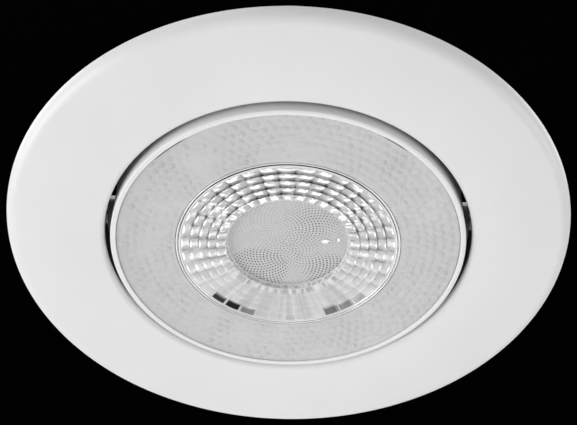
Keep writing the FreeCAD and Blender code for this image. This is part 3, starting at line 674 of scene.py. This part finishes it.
# lens: frosted plate, facet rows, centre disc and the collimator behind them
lens = {"front": -2.45, "back": -1.0, "edge": 27.95, "edgeBack": -2.05, "rim": 27.42, "optic": 18.1,
        "rows": 5, "columns": 37, "small": 7.0, "depth": 6.4, "step": 0.25, "pocket": 5.9, "pocketDeep": 1.2,
        "dimplePitch": 1.36, "dimpleCount": 96, "dimple": 0.72, "dimpleDeep": 0.11,
        "shadows": [(-54.8, 5.8, 0.95), (-131.5, 7.8, 0.75)]}    # angle, half width, darkness
facets = {"outer": 17.08, "inner": 10.02, "rise": 0.36, "pillow": 0.095, "edge": 0.32, "wobble": 0.05,
          "slant": 0.06, "turn": 1.38, "floor": -2.34, "along": 10, "across": 7, "seed": 5,
          "darkCells": [(132.7, 4.5, 15.9, 0.95), (123.0, 4.5, 15.7, 0.98), (113.3, 4.5, 15.8, 0.62),
                        (63.0, 4.6, 15.3, 0.72), (53.5, 4.6, 15.7, 0.55), (44.0, 4.0, 16.1, 0.35),
                        (88.0, 3.0, 16.4, 0.2)]}    # angle, half width, radius they start at, darkness
disc = {"edge": 9.98, "top": -1.16, "back": -1.02, "bead": 0.1, "flutes": 60, "flute": 0.11,
        "dotGap": 0.305, "dotWide": 0.15, "dotHigh": 0.05, "dotLimit": 9.62, "dotTurn": 137.50776,
        "marks": [(6.0, -0.45, 0.85, 0.42), (8.1, -0.8, 0.13, 0.5)],    # X, Y and half widths
        "paintedShadePatches": [(-5.0, 6.4, 5.4, 2.4), (6.8, 6.6, 4.8, 1.1), (4.2, -4.6, 5.5, 0.5),
                    (1.0, 2.0, 6.0, 0.3)]}    # X, Y, radius, darkness
rim = {"outer": 18.1, "ridges": [17.88, 17.42], "ridgeWide": 0.15, "low": -2.46, "groove": 0.22,
       "shades": [0.6, 1.0]}


def plateFinish():
    # frosted plate with faint rows of dimples, each row set half a dimple on from the last
    bench, place = openFinish("frostedPlate")
    x, y = bench.millimetres(place)[:2]
    radius, angle = x.reach(y), y.bearing(x)
    count, pitch = lens["dimpleCount"], lens["dimplePitch"]
    rowPlace = (radius - lens["optic"] - 0.4) / pitch
    turn = angle / 360 * count + rowPlace.floor() * 0.5
    across = (turn.fraction() - 0.5) * (2 * math.pi / count) * radius
    along = (rowPlace.fraction() - 0.5) * pitch
    away = (across * across * 0.78 + along * along) ** 0.5
    dimple = (1 - (away / lens["dimple"]) ** 2).most(0.0) ** 2
    grain = bench.noise(place, 0.25, 3)
    cloud = bench.noise(place, 7, 2)
    patch = bench.noise(place, 2.6, 1)
    ripple = bench.noise(place, 1.1, 0)
    dimple = dimple * (0.25 + 1.3 * cloud.above(0.5, 0.35)) * (0.3 + 1.4 * patch)
    normal = bench.bump(dimple + ripple * 1.5 + grain * 0.02, lens["dimpleDeep"])
    shadow = 0.0
    for middle, half, share in lens["shadows"]:    # painted shadow along the joint with the ring
        shadow = (angle.within(middle, half, 1.6, 3) * share).most(shadow)
    shadow = shadow * radius.above(lens["rim"] - 0.2, 0.06)
    colour = bench.blend(shadow, bench.blend(cloud.above(0.5, 0.6), 0.60, 0.56), 0.02)
    others = {"Coat Weight": 0.25, "Coat Roughness": 0.12, "IOR": 1.49}
    closeFinish(bench, surface(bench, colour, 0.26 + (grain - 0.5) * 0.08, normal, others))


def facetFinish():
    # bright moulded facets with painted shade on the step walls and between columns, painted streaks and
    # flecks, and a few outer cells painted dark as dark reflections
    bench, place = openFinish("facetSilver")
    x, y = bench.millimetres(place)[:2]
    radius, angle = x.reach(y), y.bearing(x)
    pitch = (facets["outer"] - facets["inner"]) / lens["rows"]
    inRow = ((facets["outer"] - radius) / pitch).fraction()
    inColumn = ((angle - facets["turn"]) * (lens["columns"] / 360) + 100).fraction()
    cloud = bench.noise(place, 1.6, 2)
    grain = bench.noise(place, 0.2, 2)
    # cells painted dark as dark reflections, at the listed angles
    shut = 0.0
    for middle, half, inner, share in facets["darkCells"]:
        cell = angle.within(middle, half, 0.35, 0.7) * radius.above(inner + 0.1, 0.8)
        shut = (cell * share).most(shut)
    seam = abs(inColumn - 0.5)
    calm = (y / radius).above(0.45, 0.5)    # the far cells are smooth
    # painted shade in the gaps between columns, faint on the far side
    paintedGapShade = seam.above(0.40, 0.10) * cloud.above(0.44, 0.2) * (1 - calm * 0.9)
    spoke = bench.vector(x / radius, y / radius, 0.0)    # the same all along a radius
    # painted shade in streaks along radii, on the far side only
    streak = bench.noise(spoke, 0.11 / mm, 2).above(0.5, 0.22)
    paintedFleck = bench.noise(spoke, 0.07 / mm, 1).above(0.5, 0.22)
    foot = (1 - radius.above(facets["inner"] + 0.85, 0.5)) * calm    # painted highlights and shade in flecks below the disc
    colour = bench.blend(cloud.above(0.5, 0.7), 0.88, 0.74)
    colour = bench.blend(streak * calm * 0.38, colour, 0.42)
    colour = bench.blend(foot * 0.75, colour, bench.blend(paintedFleck, 0.45, 1.0))
    colour = bench.blend(paintedGapShade * 0.5, colour, 0.16)
    # painted shade on the step walls between rows
    wall = inRow.above(1 - 1.1 * facets["slant"] / pitch, 0.02)
    wall = wall * (0.25 + 0.5 * cloud.above(0.46, 0.12) + paintedGapShade * 0.4)
    colour = bench.blend(wall, colour, 0.03)
    normal = bench.bump(grain, 0.001)
    others = {"Metallic": 0.5 - wall * 0.4, "IOR": 1.49}
    bright = surface(bench, colour, 0.14 + grain * 0.06 + calm * 0.26, normal, others)
    # the painted dark reflection, mixed in over the listed cells
    dark = bench.blend(grain.above(0.5, 0.4), 0.002, 0.008)
    paintedDarkCell = surface(bench, dark, 0.3, normal, {"Specular IOR Level": 0.05})
    share = shut * (1 - seam.above(0.475, 0.02) * 0.7)
    closeFinish(bench, bench.add("ShaderNodeMixShader", None, {0: share, 1: bright, 2: paintedDarkCell}).outputs[0])


def discFinish():
    # frosted clear plastic with the lenslets' dots, darkened by painted shade that is heaviest in a few fixed
    # patches
    bench, place = openFinish("lensletGrey")
    x, y, z = bench.millimetres(place)
    dot = ((disc["top"] - z) / disc["dotHigh"]).above(0.25, 0.4)
    cloud = bench.noise(place, 1.3, 3)
    grain = bench.noise(place, 0.3, 2)
    # painted shade for the dots, heaviest in the listed patches
    shade = 0.1
    for across, along, radius, share in disc["paintedShadePatches"]:
        away = (x - across).reach(y - along)
        shade = (1 - away / radius).most(0.0) * share * 2 + shade
    ground = bench.blend(cloud.above(0.5, 0.5), 0.60, 0.54)
    colour = bench.blend(dot * shade.least(0.96), ground, 0.03)
    others = {"Coat Weight": 0.2, "Coat Roughness": 0.12}
    closeFinish(bench, surface(bench, colour, 0.3 + grain * 0.06, bench.bump(grain, 0.001), others))


def rimFinish():
    # polished rings round the optic and the disc, with painted shade on each ridge's outer flank and painted
    # flecks of shade on the wall below the disc
    bench, place = openFinish("rimSilver")
    x, y = bench.millimetres(place)[:2]
    radius = x.reach(y)
    cloud = bench.noise(place, 1.2, 2)
    grain = bench.noise(place, 0.25, 2)
    dark = 0.0
    for ridge, share in zip(rim["ridges"], rim["shades"]):    # painted shade on the outer flank of each ridge
        dark = (radius.above(ridge + 0.10, 0.02) * (1 - radius.above(ridge + 0.22, 0.02)) * share).most(dark)
    # painted flecks of shade on the fluted wall below the disc
    paintedFleck = bench.noise(place, 0.75, 1).above(0.5, 0.12) * (1 - radius.above(facets["inner"] + 0.1, 0.05))
    colour = bench.blend(paintedFleck * 0.75, bench.blend(cloud.above(0.5, 0.6), 0.94, 0.84), 0.52)
    colour = bench.blend(dark, colour, 0.04)
    others = {"Metallic": 0.3, "IOR": 1.49}
    closeFinish(bench, surface(bench, colour, 0.12 + grain * 0.06, bench.bump(grain, 0.001), others))


def clearFinish():
    bench, place = openFinish("clearOptic")
    cloud = bench.noise(place, 6, 2)
    grain = bench.noise(place, 0.3, 2)
    colour = bench.blend(cloud.above(0.5, 0.6), 0.97, 0.94)
    others = {"Transmission Weight": 1.0, "IOR": 1.49}
    closeFinish(bench, surface(bench, colour, 0.015 + grain * 0.02, bench.bump(grain, 0.0006), others))


for make in (plateFinish, facetFinish, discFinish, rimFinish, clearFinish):
    make()


def makePlate():
    l, r = lens, rim
    top, back, edge, outer = l["front"], l["back"], l["edge"] - 0.05, r["outer"]
    outline = [(outer, back), (outer, top, 0.05), (l["rim"], top), (l["rim"], l["edgeBack"]),
               (edge, l["edgeBack"]), (edge, back)]
    piece(asObject("lensPlate", turned(outline, 256), "frostedPlate"), "head", "lens", sharp=25)
    inner, floor, wide = facets["outer"] + 0.02, r["low"] + r["groove"], r["ridgeWide"]
    points = [(inner, back - 0.1), (inner, floor)]
    for middle in r["ridges"][::-1]:
        points.append((middle - wide - 0.03, floor))
        points += arc((middle, r["low"] + wide), wide, -180, 0, 8)
        points.append((middle + wide + 0.03, floor))
    points += [(outer - 0.01, floor), (outer - 0.01, back - 0.1)]
    piece(asObject("opticRim", turned(points, 256), "rimSilver"), "head", sharp=50)


def facetGroup():
    # rows of flat-topped cells, each row sinking inwards and then stepping back to the front
    f = facets
    group, bench, given, value = openGroup("facetRows", {
        "Rows": lens["rows"], "Columns": lens["columns"], "Along": f["along"], "Across": f["across"],
        "Outer": f["outer"] * mm, "Inner": f["inner"] * mm, "Rise": f["rise"] * mm, "Slant": f["slant"] * mm,
        "Pillow": f["pillow"] * mm, "Edge": f["edge"], "Wobble": f["wobble"] * mm, "Flute": 0.0,
        "Turn": math.radians(f["turn"]), "Seed": f["seed"], "Floor": f["floor"] * mm})
    grid, share, row, inRow = cellGrid(bench, value)
    column = share * value["Columns"] + 0.001
    inColumn = column.fraction()
    pitch = (value["Outer"] - value["Inner"]) / value["Rows"]
    bulge = plateau(inColumn, value["Edge"]) * (0.6 + 0.4 * plateau(inRow, 1 / (value["Across"] - 1)))
    cell = column.floor() + row * 1000
    wobble = 0.0
    for spare, away in enumerate((inColumn - 0.5, inRow - 0.5)):    # a random tilt each way
        draw = {2: -1.0, 3: 1.0, "ID": cell, "Seed": value["Seed"] + spare}
        wobble = away * bench.signal("FunctionNodeRandomValue", {"data_type": "FLOAT"}, draw, 1) + wobble
    wobble = wobble * value["Wobble"]
    radius = value["Outer"] - row * pitch - inRow * (pitch - value["Slant"]) + value["Flute"] * bulge
    height = value["Floor"] + value["Rise"] * inRow + (wobble - value["Pillow"]) * bulge
    angle = share * (2 * math.pi) + value["Turn"]
    closeGroup(bench, roundAxis(bench, grid, angle, radius, height), given)
    return group


def plateau(share, edge):    # 0 at both ends of a cell, 1 over its middle
    return share.least(1 - share).ramp(1 / edge, 0.0)


def collimatorGroup():
    # the collimator's outside: rows of flat facets on a paraboloid, stepping in towards the light source
    group, bench, given, value = openGroup("collimatorRows", {
        "Rows": lens["rows"], "Columns": lens["columns"], "Along": 3, "Across": 3,
        "Wide": (lens["optic"] - 0.8) * mm, "Narrow": lens["small"] * mm, "Depth": lens["depth"] * mm,
        "Step": lens["step"] * mm, "Floor": lens["back"] * mm})
    grid, share, row, inRow = cellGrid(bench, value)
    square = value["Wide"] * value["Wide"]
    drop = value["Narrow"] * value["Narrow"] - square
    start, end = [(square + drop * (edge / value["Rows"])) ** 0.5 for edge in (row, row + 1)]
    end = end + value["Step"] * row.below(value["Rows"] - 1.5)    # all but the last row
    height = value["Floor"] + value["Depth"] * (row + inRow) / value["Rows"]
    placed = roundAxis(bench, grid, share * (2 * math.pi), start + (end - start) * inRow, height)
    closeGroup(bench, placed, given)
    return group


def cellGrid(bench, value):
    # a grid whose rows of points are shared out over the rows of cells, with each point's place in its cell
    wide, tall = value["Columns"] * value["Along"], value["Rows"] * value["Across"]
    grid = bench.add("GeometryNodeMeshGrid", None, {"Vertices X": wide + 1, "Vertices Y": tall})
    across, along = bench.axes(grid.outputs["UV Map"])[:2]
    spot = (along * (tall - 1) + 0.01).floor()
    row = (spot / value["Across"] + 0.001).floor()
    return grid.outputs[0], across, row, (spot - row * value["Across"]) / (value["Across"] - 1)


def roundAxis(bench, grid, angle, radius, height):
    # wraps the grid round Z and closes its seam
    spot = bench.vector(radius * angle.cosine(), radius * angle.sine(), height)
    placed = bench.add("GeometryNodeSetPosition", None, {"Geometry": grid, "Position": spot})
    merged = bench.add("GeometryNodeMergeByDistance", None, {0: placed.outputs[0], "Distance": 1e-6})
    return merged.outputs[0]


def closed(made, lowEdge, highEdge):
    # closes a wrapped sheet at its two open ends, each by a list of (radius, z) rings, radius 0 for a pole
    form = opened(made)
    loops = []
    edges = {edge for edge in form.edges if edge.is_boundary}
    while edges:
        edge = edges.pop()
        loop = [edge.verts[0], edge.verts[1]]
        while True:
            following = next((other for other in loop[-1].link_edges if other in edges), None)
            if following is None:
                break
            edges.remove(following)
            loop.append(following.other_vert(loop[-1]))
        loops.append(loop[:-1])
    loops.sort(key=lambda loop: math.hypot(*loop[0].co.xy))
    for loop, rings in zip(loops, (lowEdge, highEdge)):
        for radius, z in rings:
            flat = [vert.co.xy.normalized() * radius * mm for vert in (loop if radius else loop[:1])]
            following = [form.verts.new((spot.x, spot.y, z * mm)) for spot in flat]
            band(form, loop, following)
            loop = following
    mended(made, form)


def makeFacets():
    f, l, d = facets, lens, disc
    group = facetGroup()
    rows = withNodes(asObject("facetRing", bmesh.new(), "facetSilver"), group)
    start, behind, inner, outer = f["floor"] + f["rise"], l["back"] - 0.2, f["inner"] - 0.05, f["outer"] + 0.1
    closed(rows, [(inner, start), (inner, behind)], [(outer, f["floor"]), (outer, behind), (inner, behind)])
    piece(rows, "head", sharp=9)
    # the fluted wall down to the disc, with a bead at its foot
    start, foot, inner, outer = start - 0.04, d["top"] - 0.12, d["edge"] - 0.1, f["inner"] - 0.02
    wall = withNodes(asObject("discWall", bmesh.new(), "rimSilver"), group, **{
        "Rows": 1, "Columns": d["flutes"], "Along": 6, "Outer": (f["inner"] - 0.04) * mm, "Inner": inner * mm,
        "Rise": (foot - start) * mm, "Slant": 0.0, "Pillow": 0.0, "Wobble": 0.0, "Flute": -d["flute"] * mm,
        "Floor": start * mm})
    bead = arc((inner - d["bead"], foot + 0.02), d["bead"], 0, -180, 8, 0.8)
    end = (inner - 2 * d["bead"], d["back"])
    closed(wall, bead + [end], [(outer, start), (outer, d["back"]), end])
    piece(wall, "head", sharp=50)
    body = withNodes(asObject("collimatorBody", bmesh.new(), "clearOptic"), collimatorGroup())
    end = l["back"] + l["depth"]
    pocketEnd = end - l["pocketDeep"]
    closed(body, [(l["pocket"], end), (l["pocket"], pocketEnd), (0, pocketEnd)], [(0, l["back"])])
    piece(body, "head", sharp=20)


def dotGroup():
    # dots in the order of seeds on a flower head
    group, bench, given, value = openGroup("seedDots", {"Count": 700, "Gap": disc["dotGap"] * mm})
    index = bench.signal("GeometryNodeInputIndex", None, None, 0)
    turn = index * math.radians(disc["dotTurn"])
    reach = (index + 0.5) ** 0.5 * value["Gap"]
    spot = bench.vector(reach * turn.cosine(), reach * turn.sine(), disc["top"] * mm)
    closeGroup(bench, copies(bench, given, value["Count"], place=spot), given)
    return group


def makeDisc():
    d = disc
    wide, high, top, edge = d["dotWide"], d["dotHigh"], d["top"], d["edge"] - 0.1
    profile = [(0, 0.06), (wide, 0.06), (wide, 0), (wide * 0.74, -high * 0.75), (wide * 0.4, -high * 0.95),
               (0, -high)]
    dot = asObject("discDots", turned(profile, 8), "lensletGrey")
    withNodes(dot, dotGroup(), Count=int((d["dotLimit"] / d["dotGap"]) ** 2))
    piece(dot, "head", sharp=80)
    shape = [(0, top), (edge, top), (edge, d["back"]), (0, d["back"])]
    piece(asObject("centreDisc", turned(shape, 256), "lensletGrey"), "head")
    marks = []
    for across, along, halfX, halfY in d["marks"]:    # polished marks of the mould's gate
        mark = turned([(0, -0.09), (0.86, -0.09), (1.0, -0.06), (1.0, 0.05), (0, 0.05)], 28)
        marks.append(moved(mark, shift(across, along, top) @ Matrix.Diagonal((halfX, halfY, 1, 1))))
    piece(asObject("gateMarks", joined(*marks), "brightMark"), "head")


makePlate()
makeFacets()
makeDisc()
print("lens")


# driver housing, its cover and the cable gland
driver = {"radius": 20.2, "wall": 1.6, "low": 21.0, "top": 34.3, "cover": 2.0, "coverRound": 0.8,
          "glandZ": 28.9, "glandFlat": 4.65, "glandHole": 3.72, "glandHoleFrom": 12, "glandSeat": 19.67,
          "panel": 11.6, "panelDeep": 0.28, "screws": 3, "screwTurn": 30, "screwAt": 16.5,
          "screwWell": 2.15, "screwHead": 2.1, "screwHeadThick": 1.2, "screwShank": 1.25, "screwLong": 5.0,
          "slotDeep": 0.62, "slotHalf": 0.24}


def makeDriver():
    d = driver
    low, top, edge = d["low"], d["top"], d["radius"]
    inside, waist, reach = edge - d["wall"], edge - 0.12, edge + 4
    outline = [(0, low), (edge, low, 0.4), (edge, low + 1.6, 0.1), (waist, low + 1.75, 0.1),
               (waist, top - 1.35, 0.1), (edge, top - 1.2, 0.1), (edge, top, 0.15), (inside, top, 0.15),
               (inside, low + 1.5), (0, low + 1.5)]
    can = asObject("driverCan", turned(outline, 224), "greyPlastic")
    seat, flat, hole, start = d["glandSeat"], d["glandFlat"], d["glandHole"], d["glandHoleFrom"]
    place = shift(0, 0, d["glandZ"]) @ alongY
    cutOut(can, moved(turned([(0, seat), (flat, seat, 0.1), (flat, reach), (0, reach)], 64), place),
           moved(turned([(0, start), (hole, start), (hole, reach), (0, reach)], 48), place))
    piece(can, "head", "driver_housing")


def makeCover():
    d = driver
    low, top, panel, well = d["top"], d["top"] + d["cover"], d["panel"], d["screwWell"]
    deep, seat = top - d["panelDeep"], top - d["screwHeadThick"]
    outline = [(0, low), (d["radius"], low, 0.15), (d["radius"], top, d["coverRound"])]
    for out, height in ((1.0, top), (0.7, deep), (0, deep), (-0.3, top), (-1.3, top), (-1.6, deep)):
        outline.append((panel + out, height, 0.15))    # a groove, a ridge and the sunk middle
    outline.append((0, deep))
    cover = asObject("rearCover", turned(outline, 224, 7), "greyPlastic")
    turns = [math.radians(d["screwTurn"] + 360 * step / d["screws"]) for step in range(d["screws"])]
    pocket = [(0, seat), (well, seat), (well, top - 0.15), (well + 0.2, top + 0.2), (0, top + 0.2)]
    for turn in turns:
        place = shift(d["screwAt"] * math.cos(turn), d["screwAt"] * math.sin(turn), 0)
        cutOut(cover, moved(turned(pocket, 40), place))
    piece(cover, "head", "rear_cover", sharp=28)
    end, shank, wide = seat - d["screwLong"], d["screwShank"], d["screwHead"]
    shape = [(0, end), (shank, end + 0.5), (shank, seat), (wide, seat, 0.1), (wide, top - 0.1, 0.45),
             (0, top - 0.06)]
    screw = asObject("coverScrews", turned(shape, 40), "zincPlate")
    foot = top - d["slotDeep"]
    slot = [(-1.25, foot), (1.25, foot), (1.35, top + 0.3), (-1.35, top + 0.3)]
    for turn in (0, 90):    # the cross in the head
        arm = slab(slot, -d["slotHalf"], d["slotHalf"])
        cutOut(screw, moved(arm, Matrix.Rotation(math.radians(turn), 4, "Z")))
    screw.data.transform(shift(d["screwAt"], 0, 0))
    withNodes(screw, copiesRoundAxis, **{"Count": d["screws"], "First Angle": turns[0]})
    piece(screw, "head", "cover_screws", sharp=28)


makeDriver()
makeCover()

gland = {"flange": 4.6, "thread": 3.7, "bore": 3.0, "seal": (2.6, 3.14), "inside": 16.47, "seat": 19.67,
         "flangeTop": 21.27, "end": 24.87, "nutStart": 21.32, "nutEnd": 26.32, "nutCap": 1.2, "grooves": 12,
         "grooveRound": 0.7, "grooveAt": 4.95}


def nutForm():
    # the nut's outside follows its grooves, which run out before the rounded mouth
    g = gland
    start, end, cap = g["nutStart"], g["nutEnd"], g["nutEnd"] - g["nutCap"]
    wide, bore, thread = g["flange"], g["bore"], g["thread"] + 0.06
    outline = [(thread, start, 0), (wide - 0.2, start, 0.5), (wide, start + 0.25, 1), (wide, end - 1.5, 1),
               (wide, end - 1.0, 0.35), (wide - 0.05, end - 0.7, 0), (wide - 0.22, end - 0.32, 0),
               (wide - 0.55, end - 0.06, 0), (wide - 0.8, end, 0), (bore + 0.25, end, 0),
               (bore, end - 0.25, 0), (bore, cap, 0), (thread, cap, 0)]    # radius, z, share of the grooves
    apart = 2 * math.pi / g["grooves"]
    sides = g["grooves"] * 16
    spokes = []
    for side in range(sides):
        angle = 2 * math.pi * side / sides
        off = (angle + apart / 2) % apart - apart / 2
        across = g["grooveAt"] * math.sin(off)
        inset = 0.0
        if abs(across) < g["grooveRound"]:
            inset = wide - g["grooveAt"] * math.cos(off) + math.sqrt(g["grooveRound"] ** 2 - across ** 2)
        spokes.append((math.cos(angle), math.sin(angle), max(0.0, inset)))
    form = bmesh.new()
    rings = []
    for radius, height, share in outline:
        rings.append([])
        for x, y, inset in spokes:
            reach = (radius - inset * share) * mm
            rings[-1].append(form.verts.new((reach * x, reach * y, height * mm)))
    return skinned(form, rings)


def makeGland():
    g = gland
    bore, thread, flange, (hole, skin) = g["bore"], g["thread"], g["flange"], g["seal"]
    seat, top, end, pocket = g["seat"], g["flangeTop"], g["end"], skin + 0.06
    body = turned([(bore, g["inside"], 0.2), (thread, g["inside"], 0.3), (thread, seat), (flange, seat, 0.1),
                   (flange, top, 0.3), (thread, top), (thread, end, 0.2), (pocket, end, 0.1), (pocket, top),
                   (bore, top)], 96)
    seal = turned([(hole, top, 0.1), (skin, top, 0.1), (skin, end, 0.15), (hole, end, 0.2)], 64)
    place = shift(0, 0, driver["glandZ"]) @ alongY
    for name, form, finishName, node in (("glandBody", body, "blackPlastic", "gland_body"),
                                         ("glandNut", nutForm(), "blackPlastic", "gland_nut"),
                                         ("glandSeal", seal, "blackRubber", "gland_seal")):
        piece(asObject(name, moved(form, place), finishName), "head", node)


makeGland()
print("driver and gland")


# spring clips
clip = {"hingeX": 32.8, "hingeZ": 12.4, "angle": 50.0, "start": 3.1, "end": 14.9, "wide": 9.2, "thick": 0.8,
        "low": 0.75, "ear": 2.0, "earLong": 5.0, "earTop": 2.55, "pin": 1.2, "pinHalf": 6.5, "pinHead": 1.8,
        "pinHeadThick": 0.6, "sleeveStart": 11.0, "sleeveEnd": 15.6, "sleeveSkin": 0.7, "ribs": 3,
        "bead": (9.8, 14.0), "beadHalf": 1.1, "beadHigh": 0.34}
spring = {"wire": 0.4, "coil": 2.0, "pitch": 1.3, "degrees": 1580.0, "armLeg": 8.5, "postLeg": 5.0,
          "sides": 14}


def armPlace(side):
    place = shift(clip["hingeX"], 0, clip["hingeZ"]) @ Matrix.Rotation(math.radians(clip["angle"]), 4, "Y")
    return otherSide @ place if side < 0 else place


def armForms():
    c = clip
    half, low, top = c["wide"] / 2, c["low"], c["low"] + c["thick"]
    start, end = c["start"], c["end"]
    plate = slab([(start, low), (end, low), (end, top), (start, top)], -half, half, 0.18, 3)
    (start, end), high, wide = c["bead"], top + c["beadHigh"], c["beadHalf"]
    bead = slab([(start, top - 0.1), (start + 0.4, high - 0.12), (start + 0.8, high), (end - 0.8, high),
                 (end - 0.4, high - 0.12), (end, top - 0.1)], -wide, wide, 0.12)
    long, high = c["earLong"], c["earTop"]
    ear = arc((0, 0), c["ear"], 90, 270, 18)
    ear += [(0.9, -c["ear"] + 0.25), (long - 0.6, -1.0), (long, -0.4), (long, high - 0.6),
            (long - 0.6, high), (0.8, high)]
    ears = [slab(ear, start, start + c["thick"], 0.12) for start in (half - c["thick"], -half)]
    return joined(plate, bead, *ears)


def sleeveForm():
    c = clip
    skin, start, end = c["sleeveSkin"], c["sleeveStart"], c["sleeveEnd"]
    low, top, half = c["low"] - skin, c["low"] + c["thick"] + skin, c["wide"] / 2 + skin
    outline = [(start, low), (end, low), (end, top)]
    for rib in range(c["ribs"]):    # grip ribs across the shoe
        x = end - 0.9 - rib * 1.15
        outline += [(x, top), (x - 0.2, top - 0.16), (x - 0.45, top - 0.16), (x - 0.65, top)]
    return slab(outline + [(start, top)], -half, half, 0.2, 3)


def wirePath(side):
    # the spring's centre line: a post down beside the collar, the coil, and a leg along the arm
    s, c = spring, clip
    rise = s["pitch"] / 360
    middle = s["degrees"] / 2

    def at(turn):    # a point of the coil and the way the wire runs there
        angle = math.radians(180 - turn)
        x, z = s["coil"] * math.cos(angle), s["coil"] * math.sin(angle)
        heading = Vector((z, s["pitch"] / (2 * math.pi), -x))
        return Vector((c["hingeX"] + x, (turn - middle) * rise, c["hingeZ"] + z)), heading.normalized()

    first, firstHeading = at(0)
    last, lastHeading = at(s["degrees"])
    points = [first - firstHeading * s["postLeg"] * (1 - step / 6) for step in range(6)]
    count = int(s["degrees"] / 9)
    points += [at(s["degrees"] * step / count)[0] for step in range(count + 1)]
    points += [last + lastHeading * s["armLeg"] * step / 8 for step in range(1, 9)]
    return [Vector((point.x * side, point.y, point.z)) for point in points]


def wireGroup():
    # a round wire along the object's own line of edges
    group, bench, given, value = openGroup("wireAlongLine", {
        "Wire Radius": spring["wire"] * mm, "Sides": spring["sides"]})
    line = bench.add("GeometryNodeMeshToCurve", None, {0: given["Geometry"]})
    section = bench.add("GeometryNodeCurvePrimitiveCircle", None,
                        {"Resolution": value["Sides"], "Radius": value["Wire Radius"]})
    wire = bench.add("GeometryNodeCurveToMesh", None,
                     {0: line.outputs[0], 1: section.outputs[0], "Fill Caps": True})
    closeGroup(bench, wire.outputs[0], given)
    return group


wireAlongLine = wireGroup()


def wireObject(name, points):
    line = bmesh.new()
    verts = [line.verts.new(point * mm) for point in points]
    for first, second in zip(verts, verts[1:]):
        line.edges.new((first, second))
    wire = withNodes(asObject(name, line, "springSteel"), wireAlongLine)
    mended(wire, opened(wire))
    return wire


def makeClips():
    c, s = clip, spring
    pins = []
    half, end, wide = c["pinHalf"], c["pinHalf"] + c["pinHeadThick"], c["pinHead"]
    outline = [(0, -end), (wide, -end, 0.35), (wide, -half, 0.1), (c["pin"], -half), (c["pin"], half),
               (wide, half, 0.1), (wide, end, 0.35), (0, end)]
    for side, label in ((-1, "left"), (1, "right")):
        body = "clip_" + label
        pins.append(moved(turned(outline, 48), shift(side * c["hingeX"], 0, c["hingeZ"]) @ alongY))
        arm = asObject("clipArm." + label, moved(armForms(), armPlace(side)), "zincPlate")
        piece(arm, body, "clip_arm_" + label)
        shoe = asObject("clipShoe." + label, moved(sleeveForm(), armPlace(side)), "blackRubber")
        piece(shoe, body, "clip_sleeve_" + label, sharp=50)
        wire = wireObject("clipSpring." + label, wirePath(side))
        piece(wire, None, "clip_spring_" + label, sharp=50)
        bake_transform(wire)
    piece(asObject("clipPins", joined(*pins), "zincPlate"), "trim", "clip_pins")


makeClips()
print("clips")

# finishes of the CAD nodes that stay as they are
nodeFinish = {
    "zincPlate": ["holder_screws", "housing_screws", "board_screws"],
    "blackRubber": ["lead_grommet"],
    "paleSilicone": ["lens_gasket", "cover_gasket"],
    "trayWhite": ["lens_tray", "cob_holder"],
    "padGrey": ["thermal_pad"],
    "ceramicWhite": ["led_cob"],
    "phosphorCream": ["led_phosphor"],
    "wireWhite": ["led_leads"],
    "boardGreen": ["driver_board"],
    "terminalWhite": ["terminal_block"],
    "brassBright": ["terminal_screws"],
    "ferriteGrey": ["transformer", "output_choke"],
    "canBlack": ["bulk_capacitor"],
    "blackPlastic": ["bridge_rectifier", "gland_locknut"],
    "fuseBrown": ["fuse"],
}
for finishName, nodes in nodeFinish.items():
    for node in nodes:
        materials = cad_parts[node].data.materials
        materials.clear()
        materials.append(finishes[finishName])
print("other nodes:", sum(map(len, nodeFinish.values())))
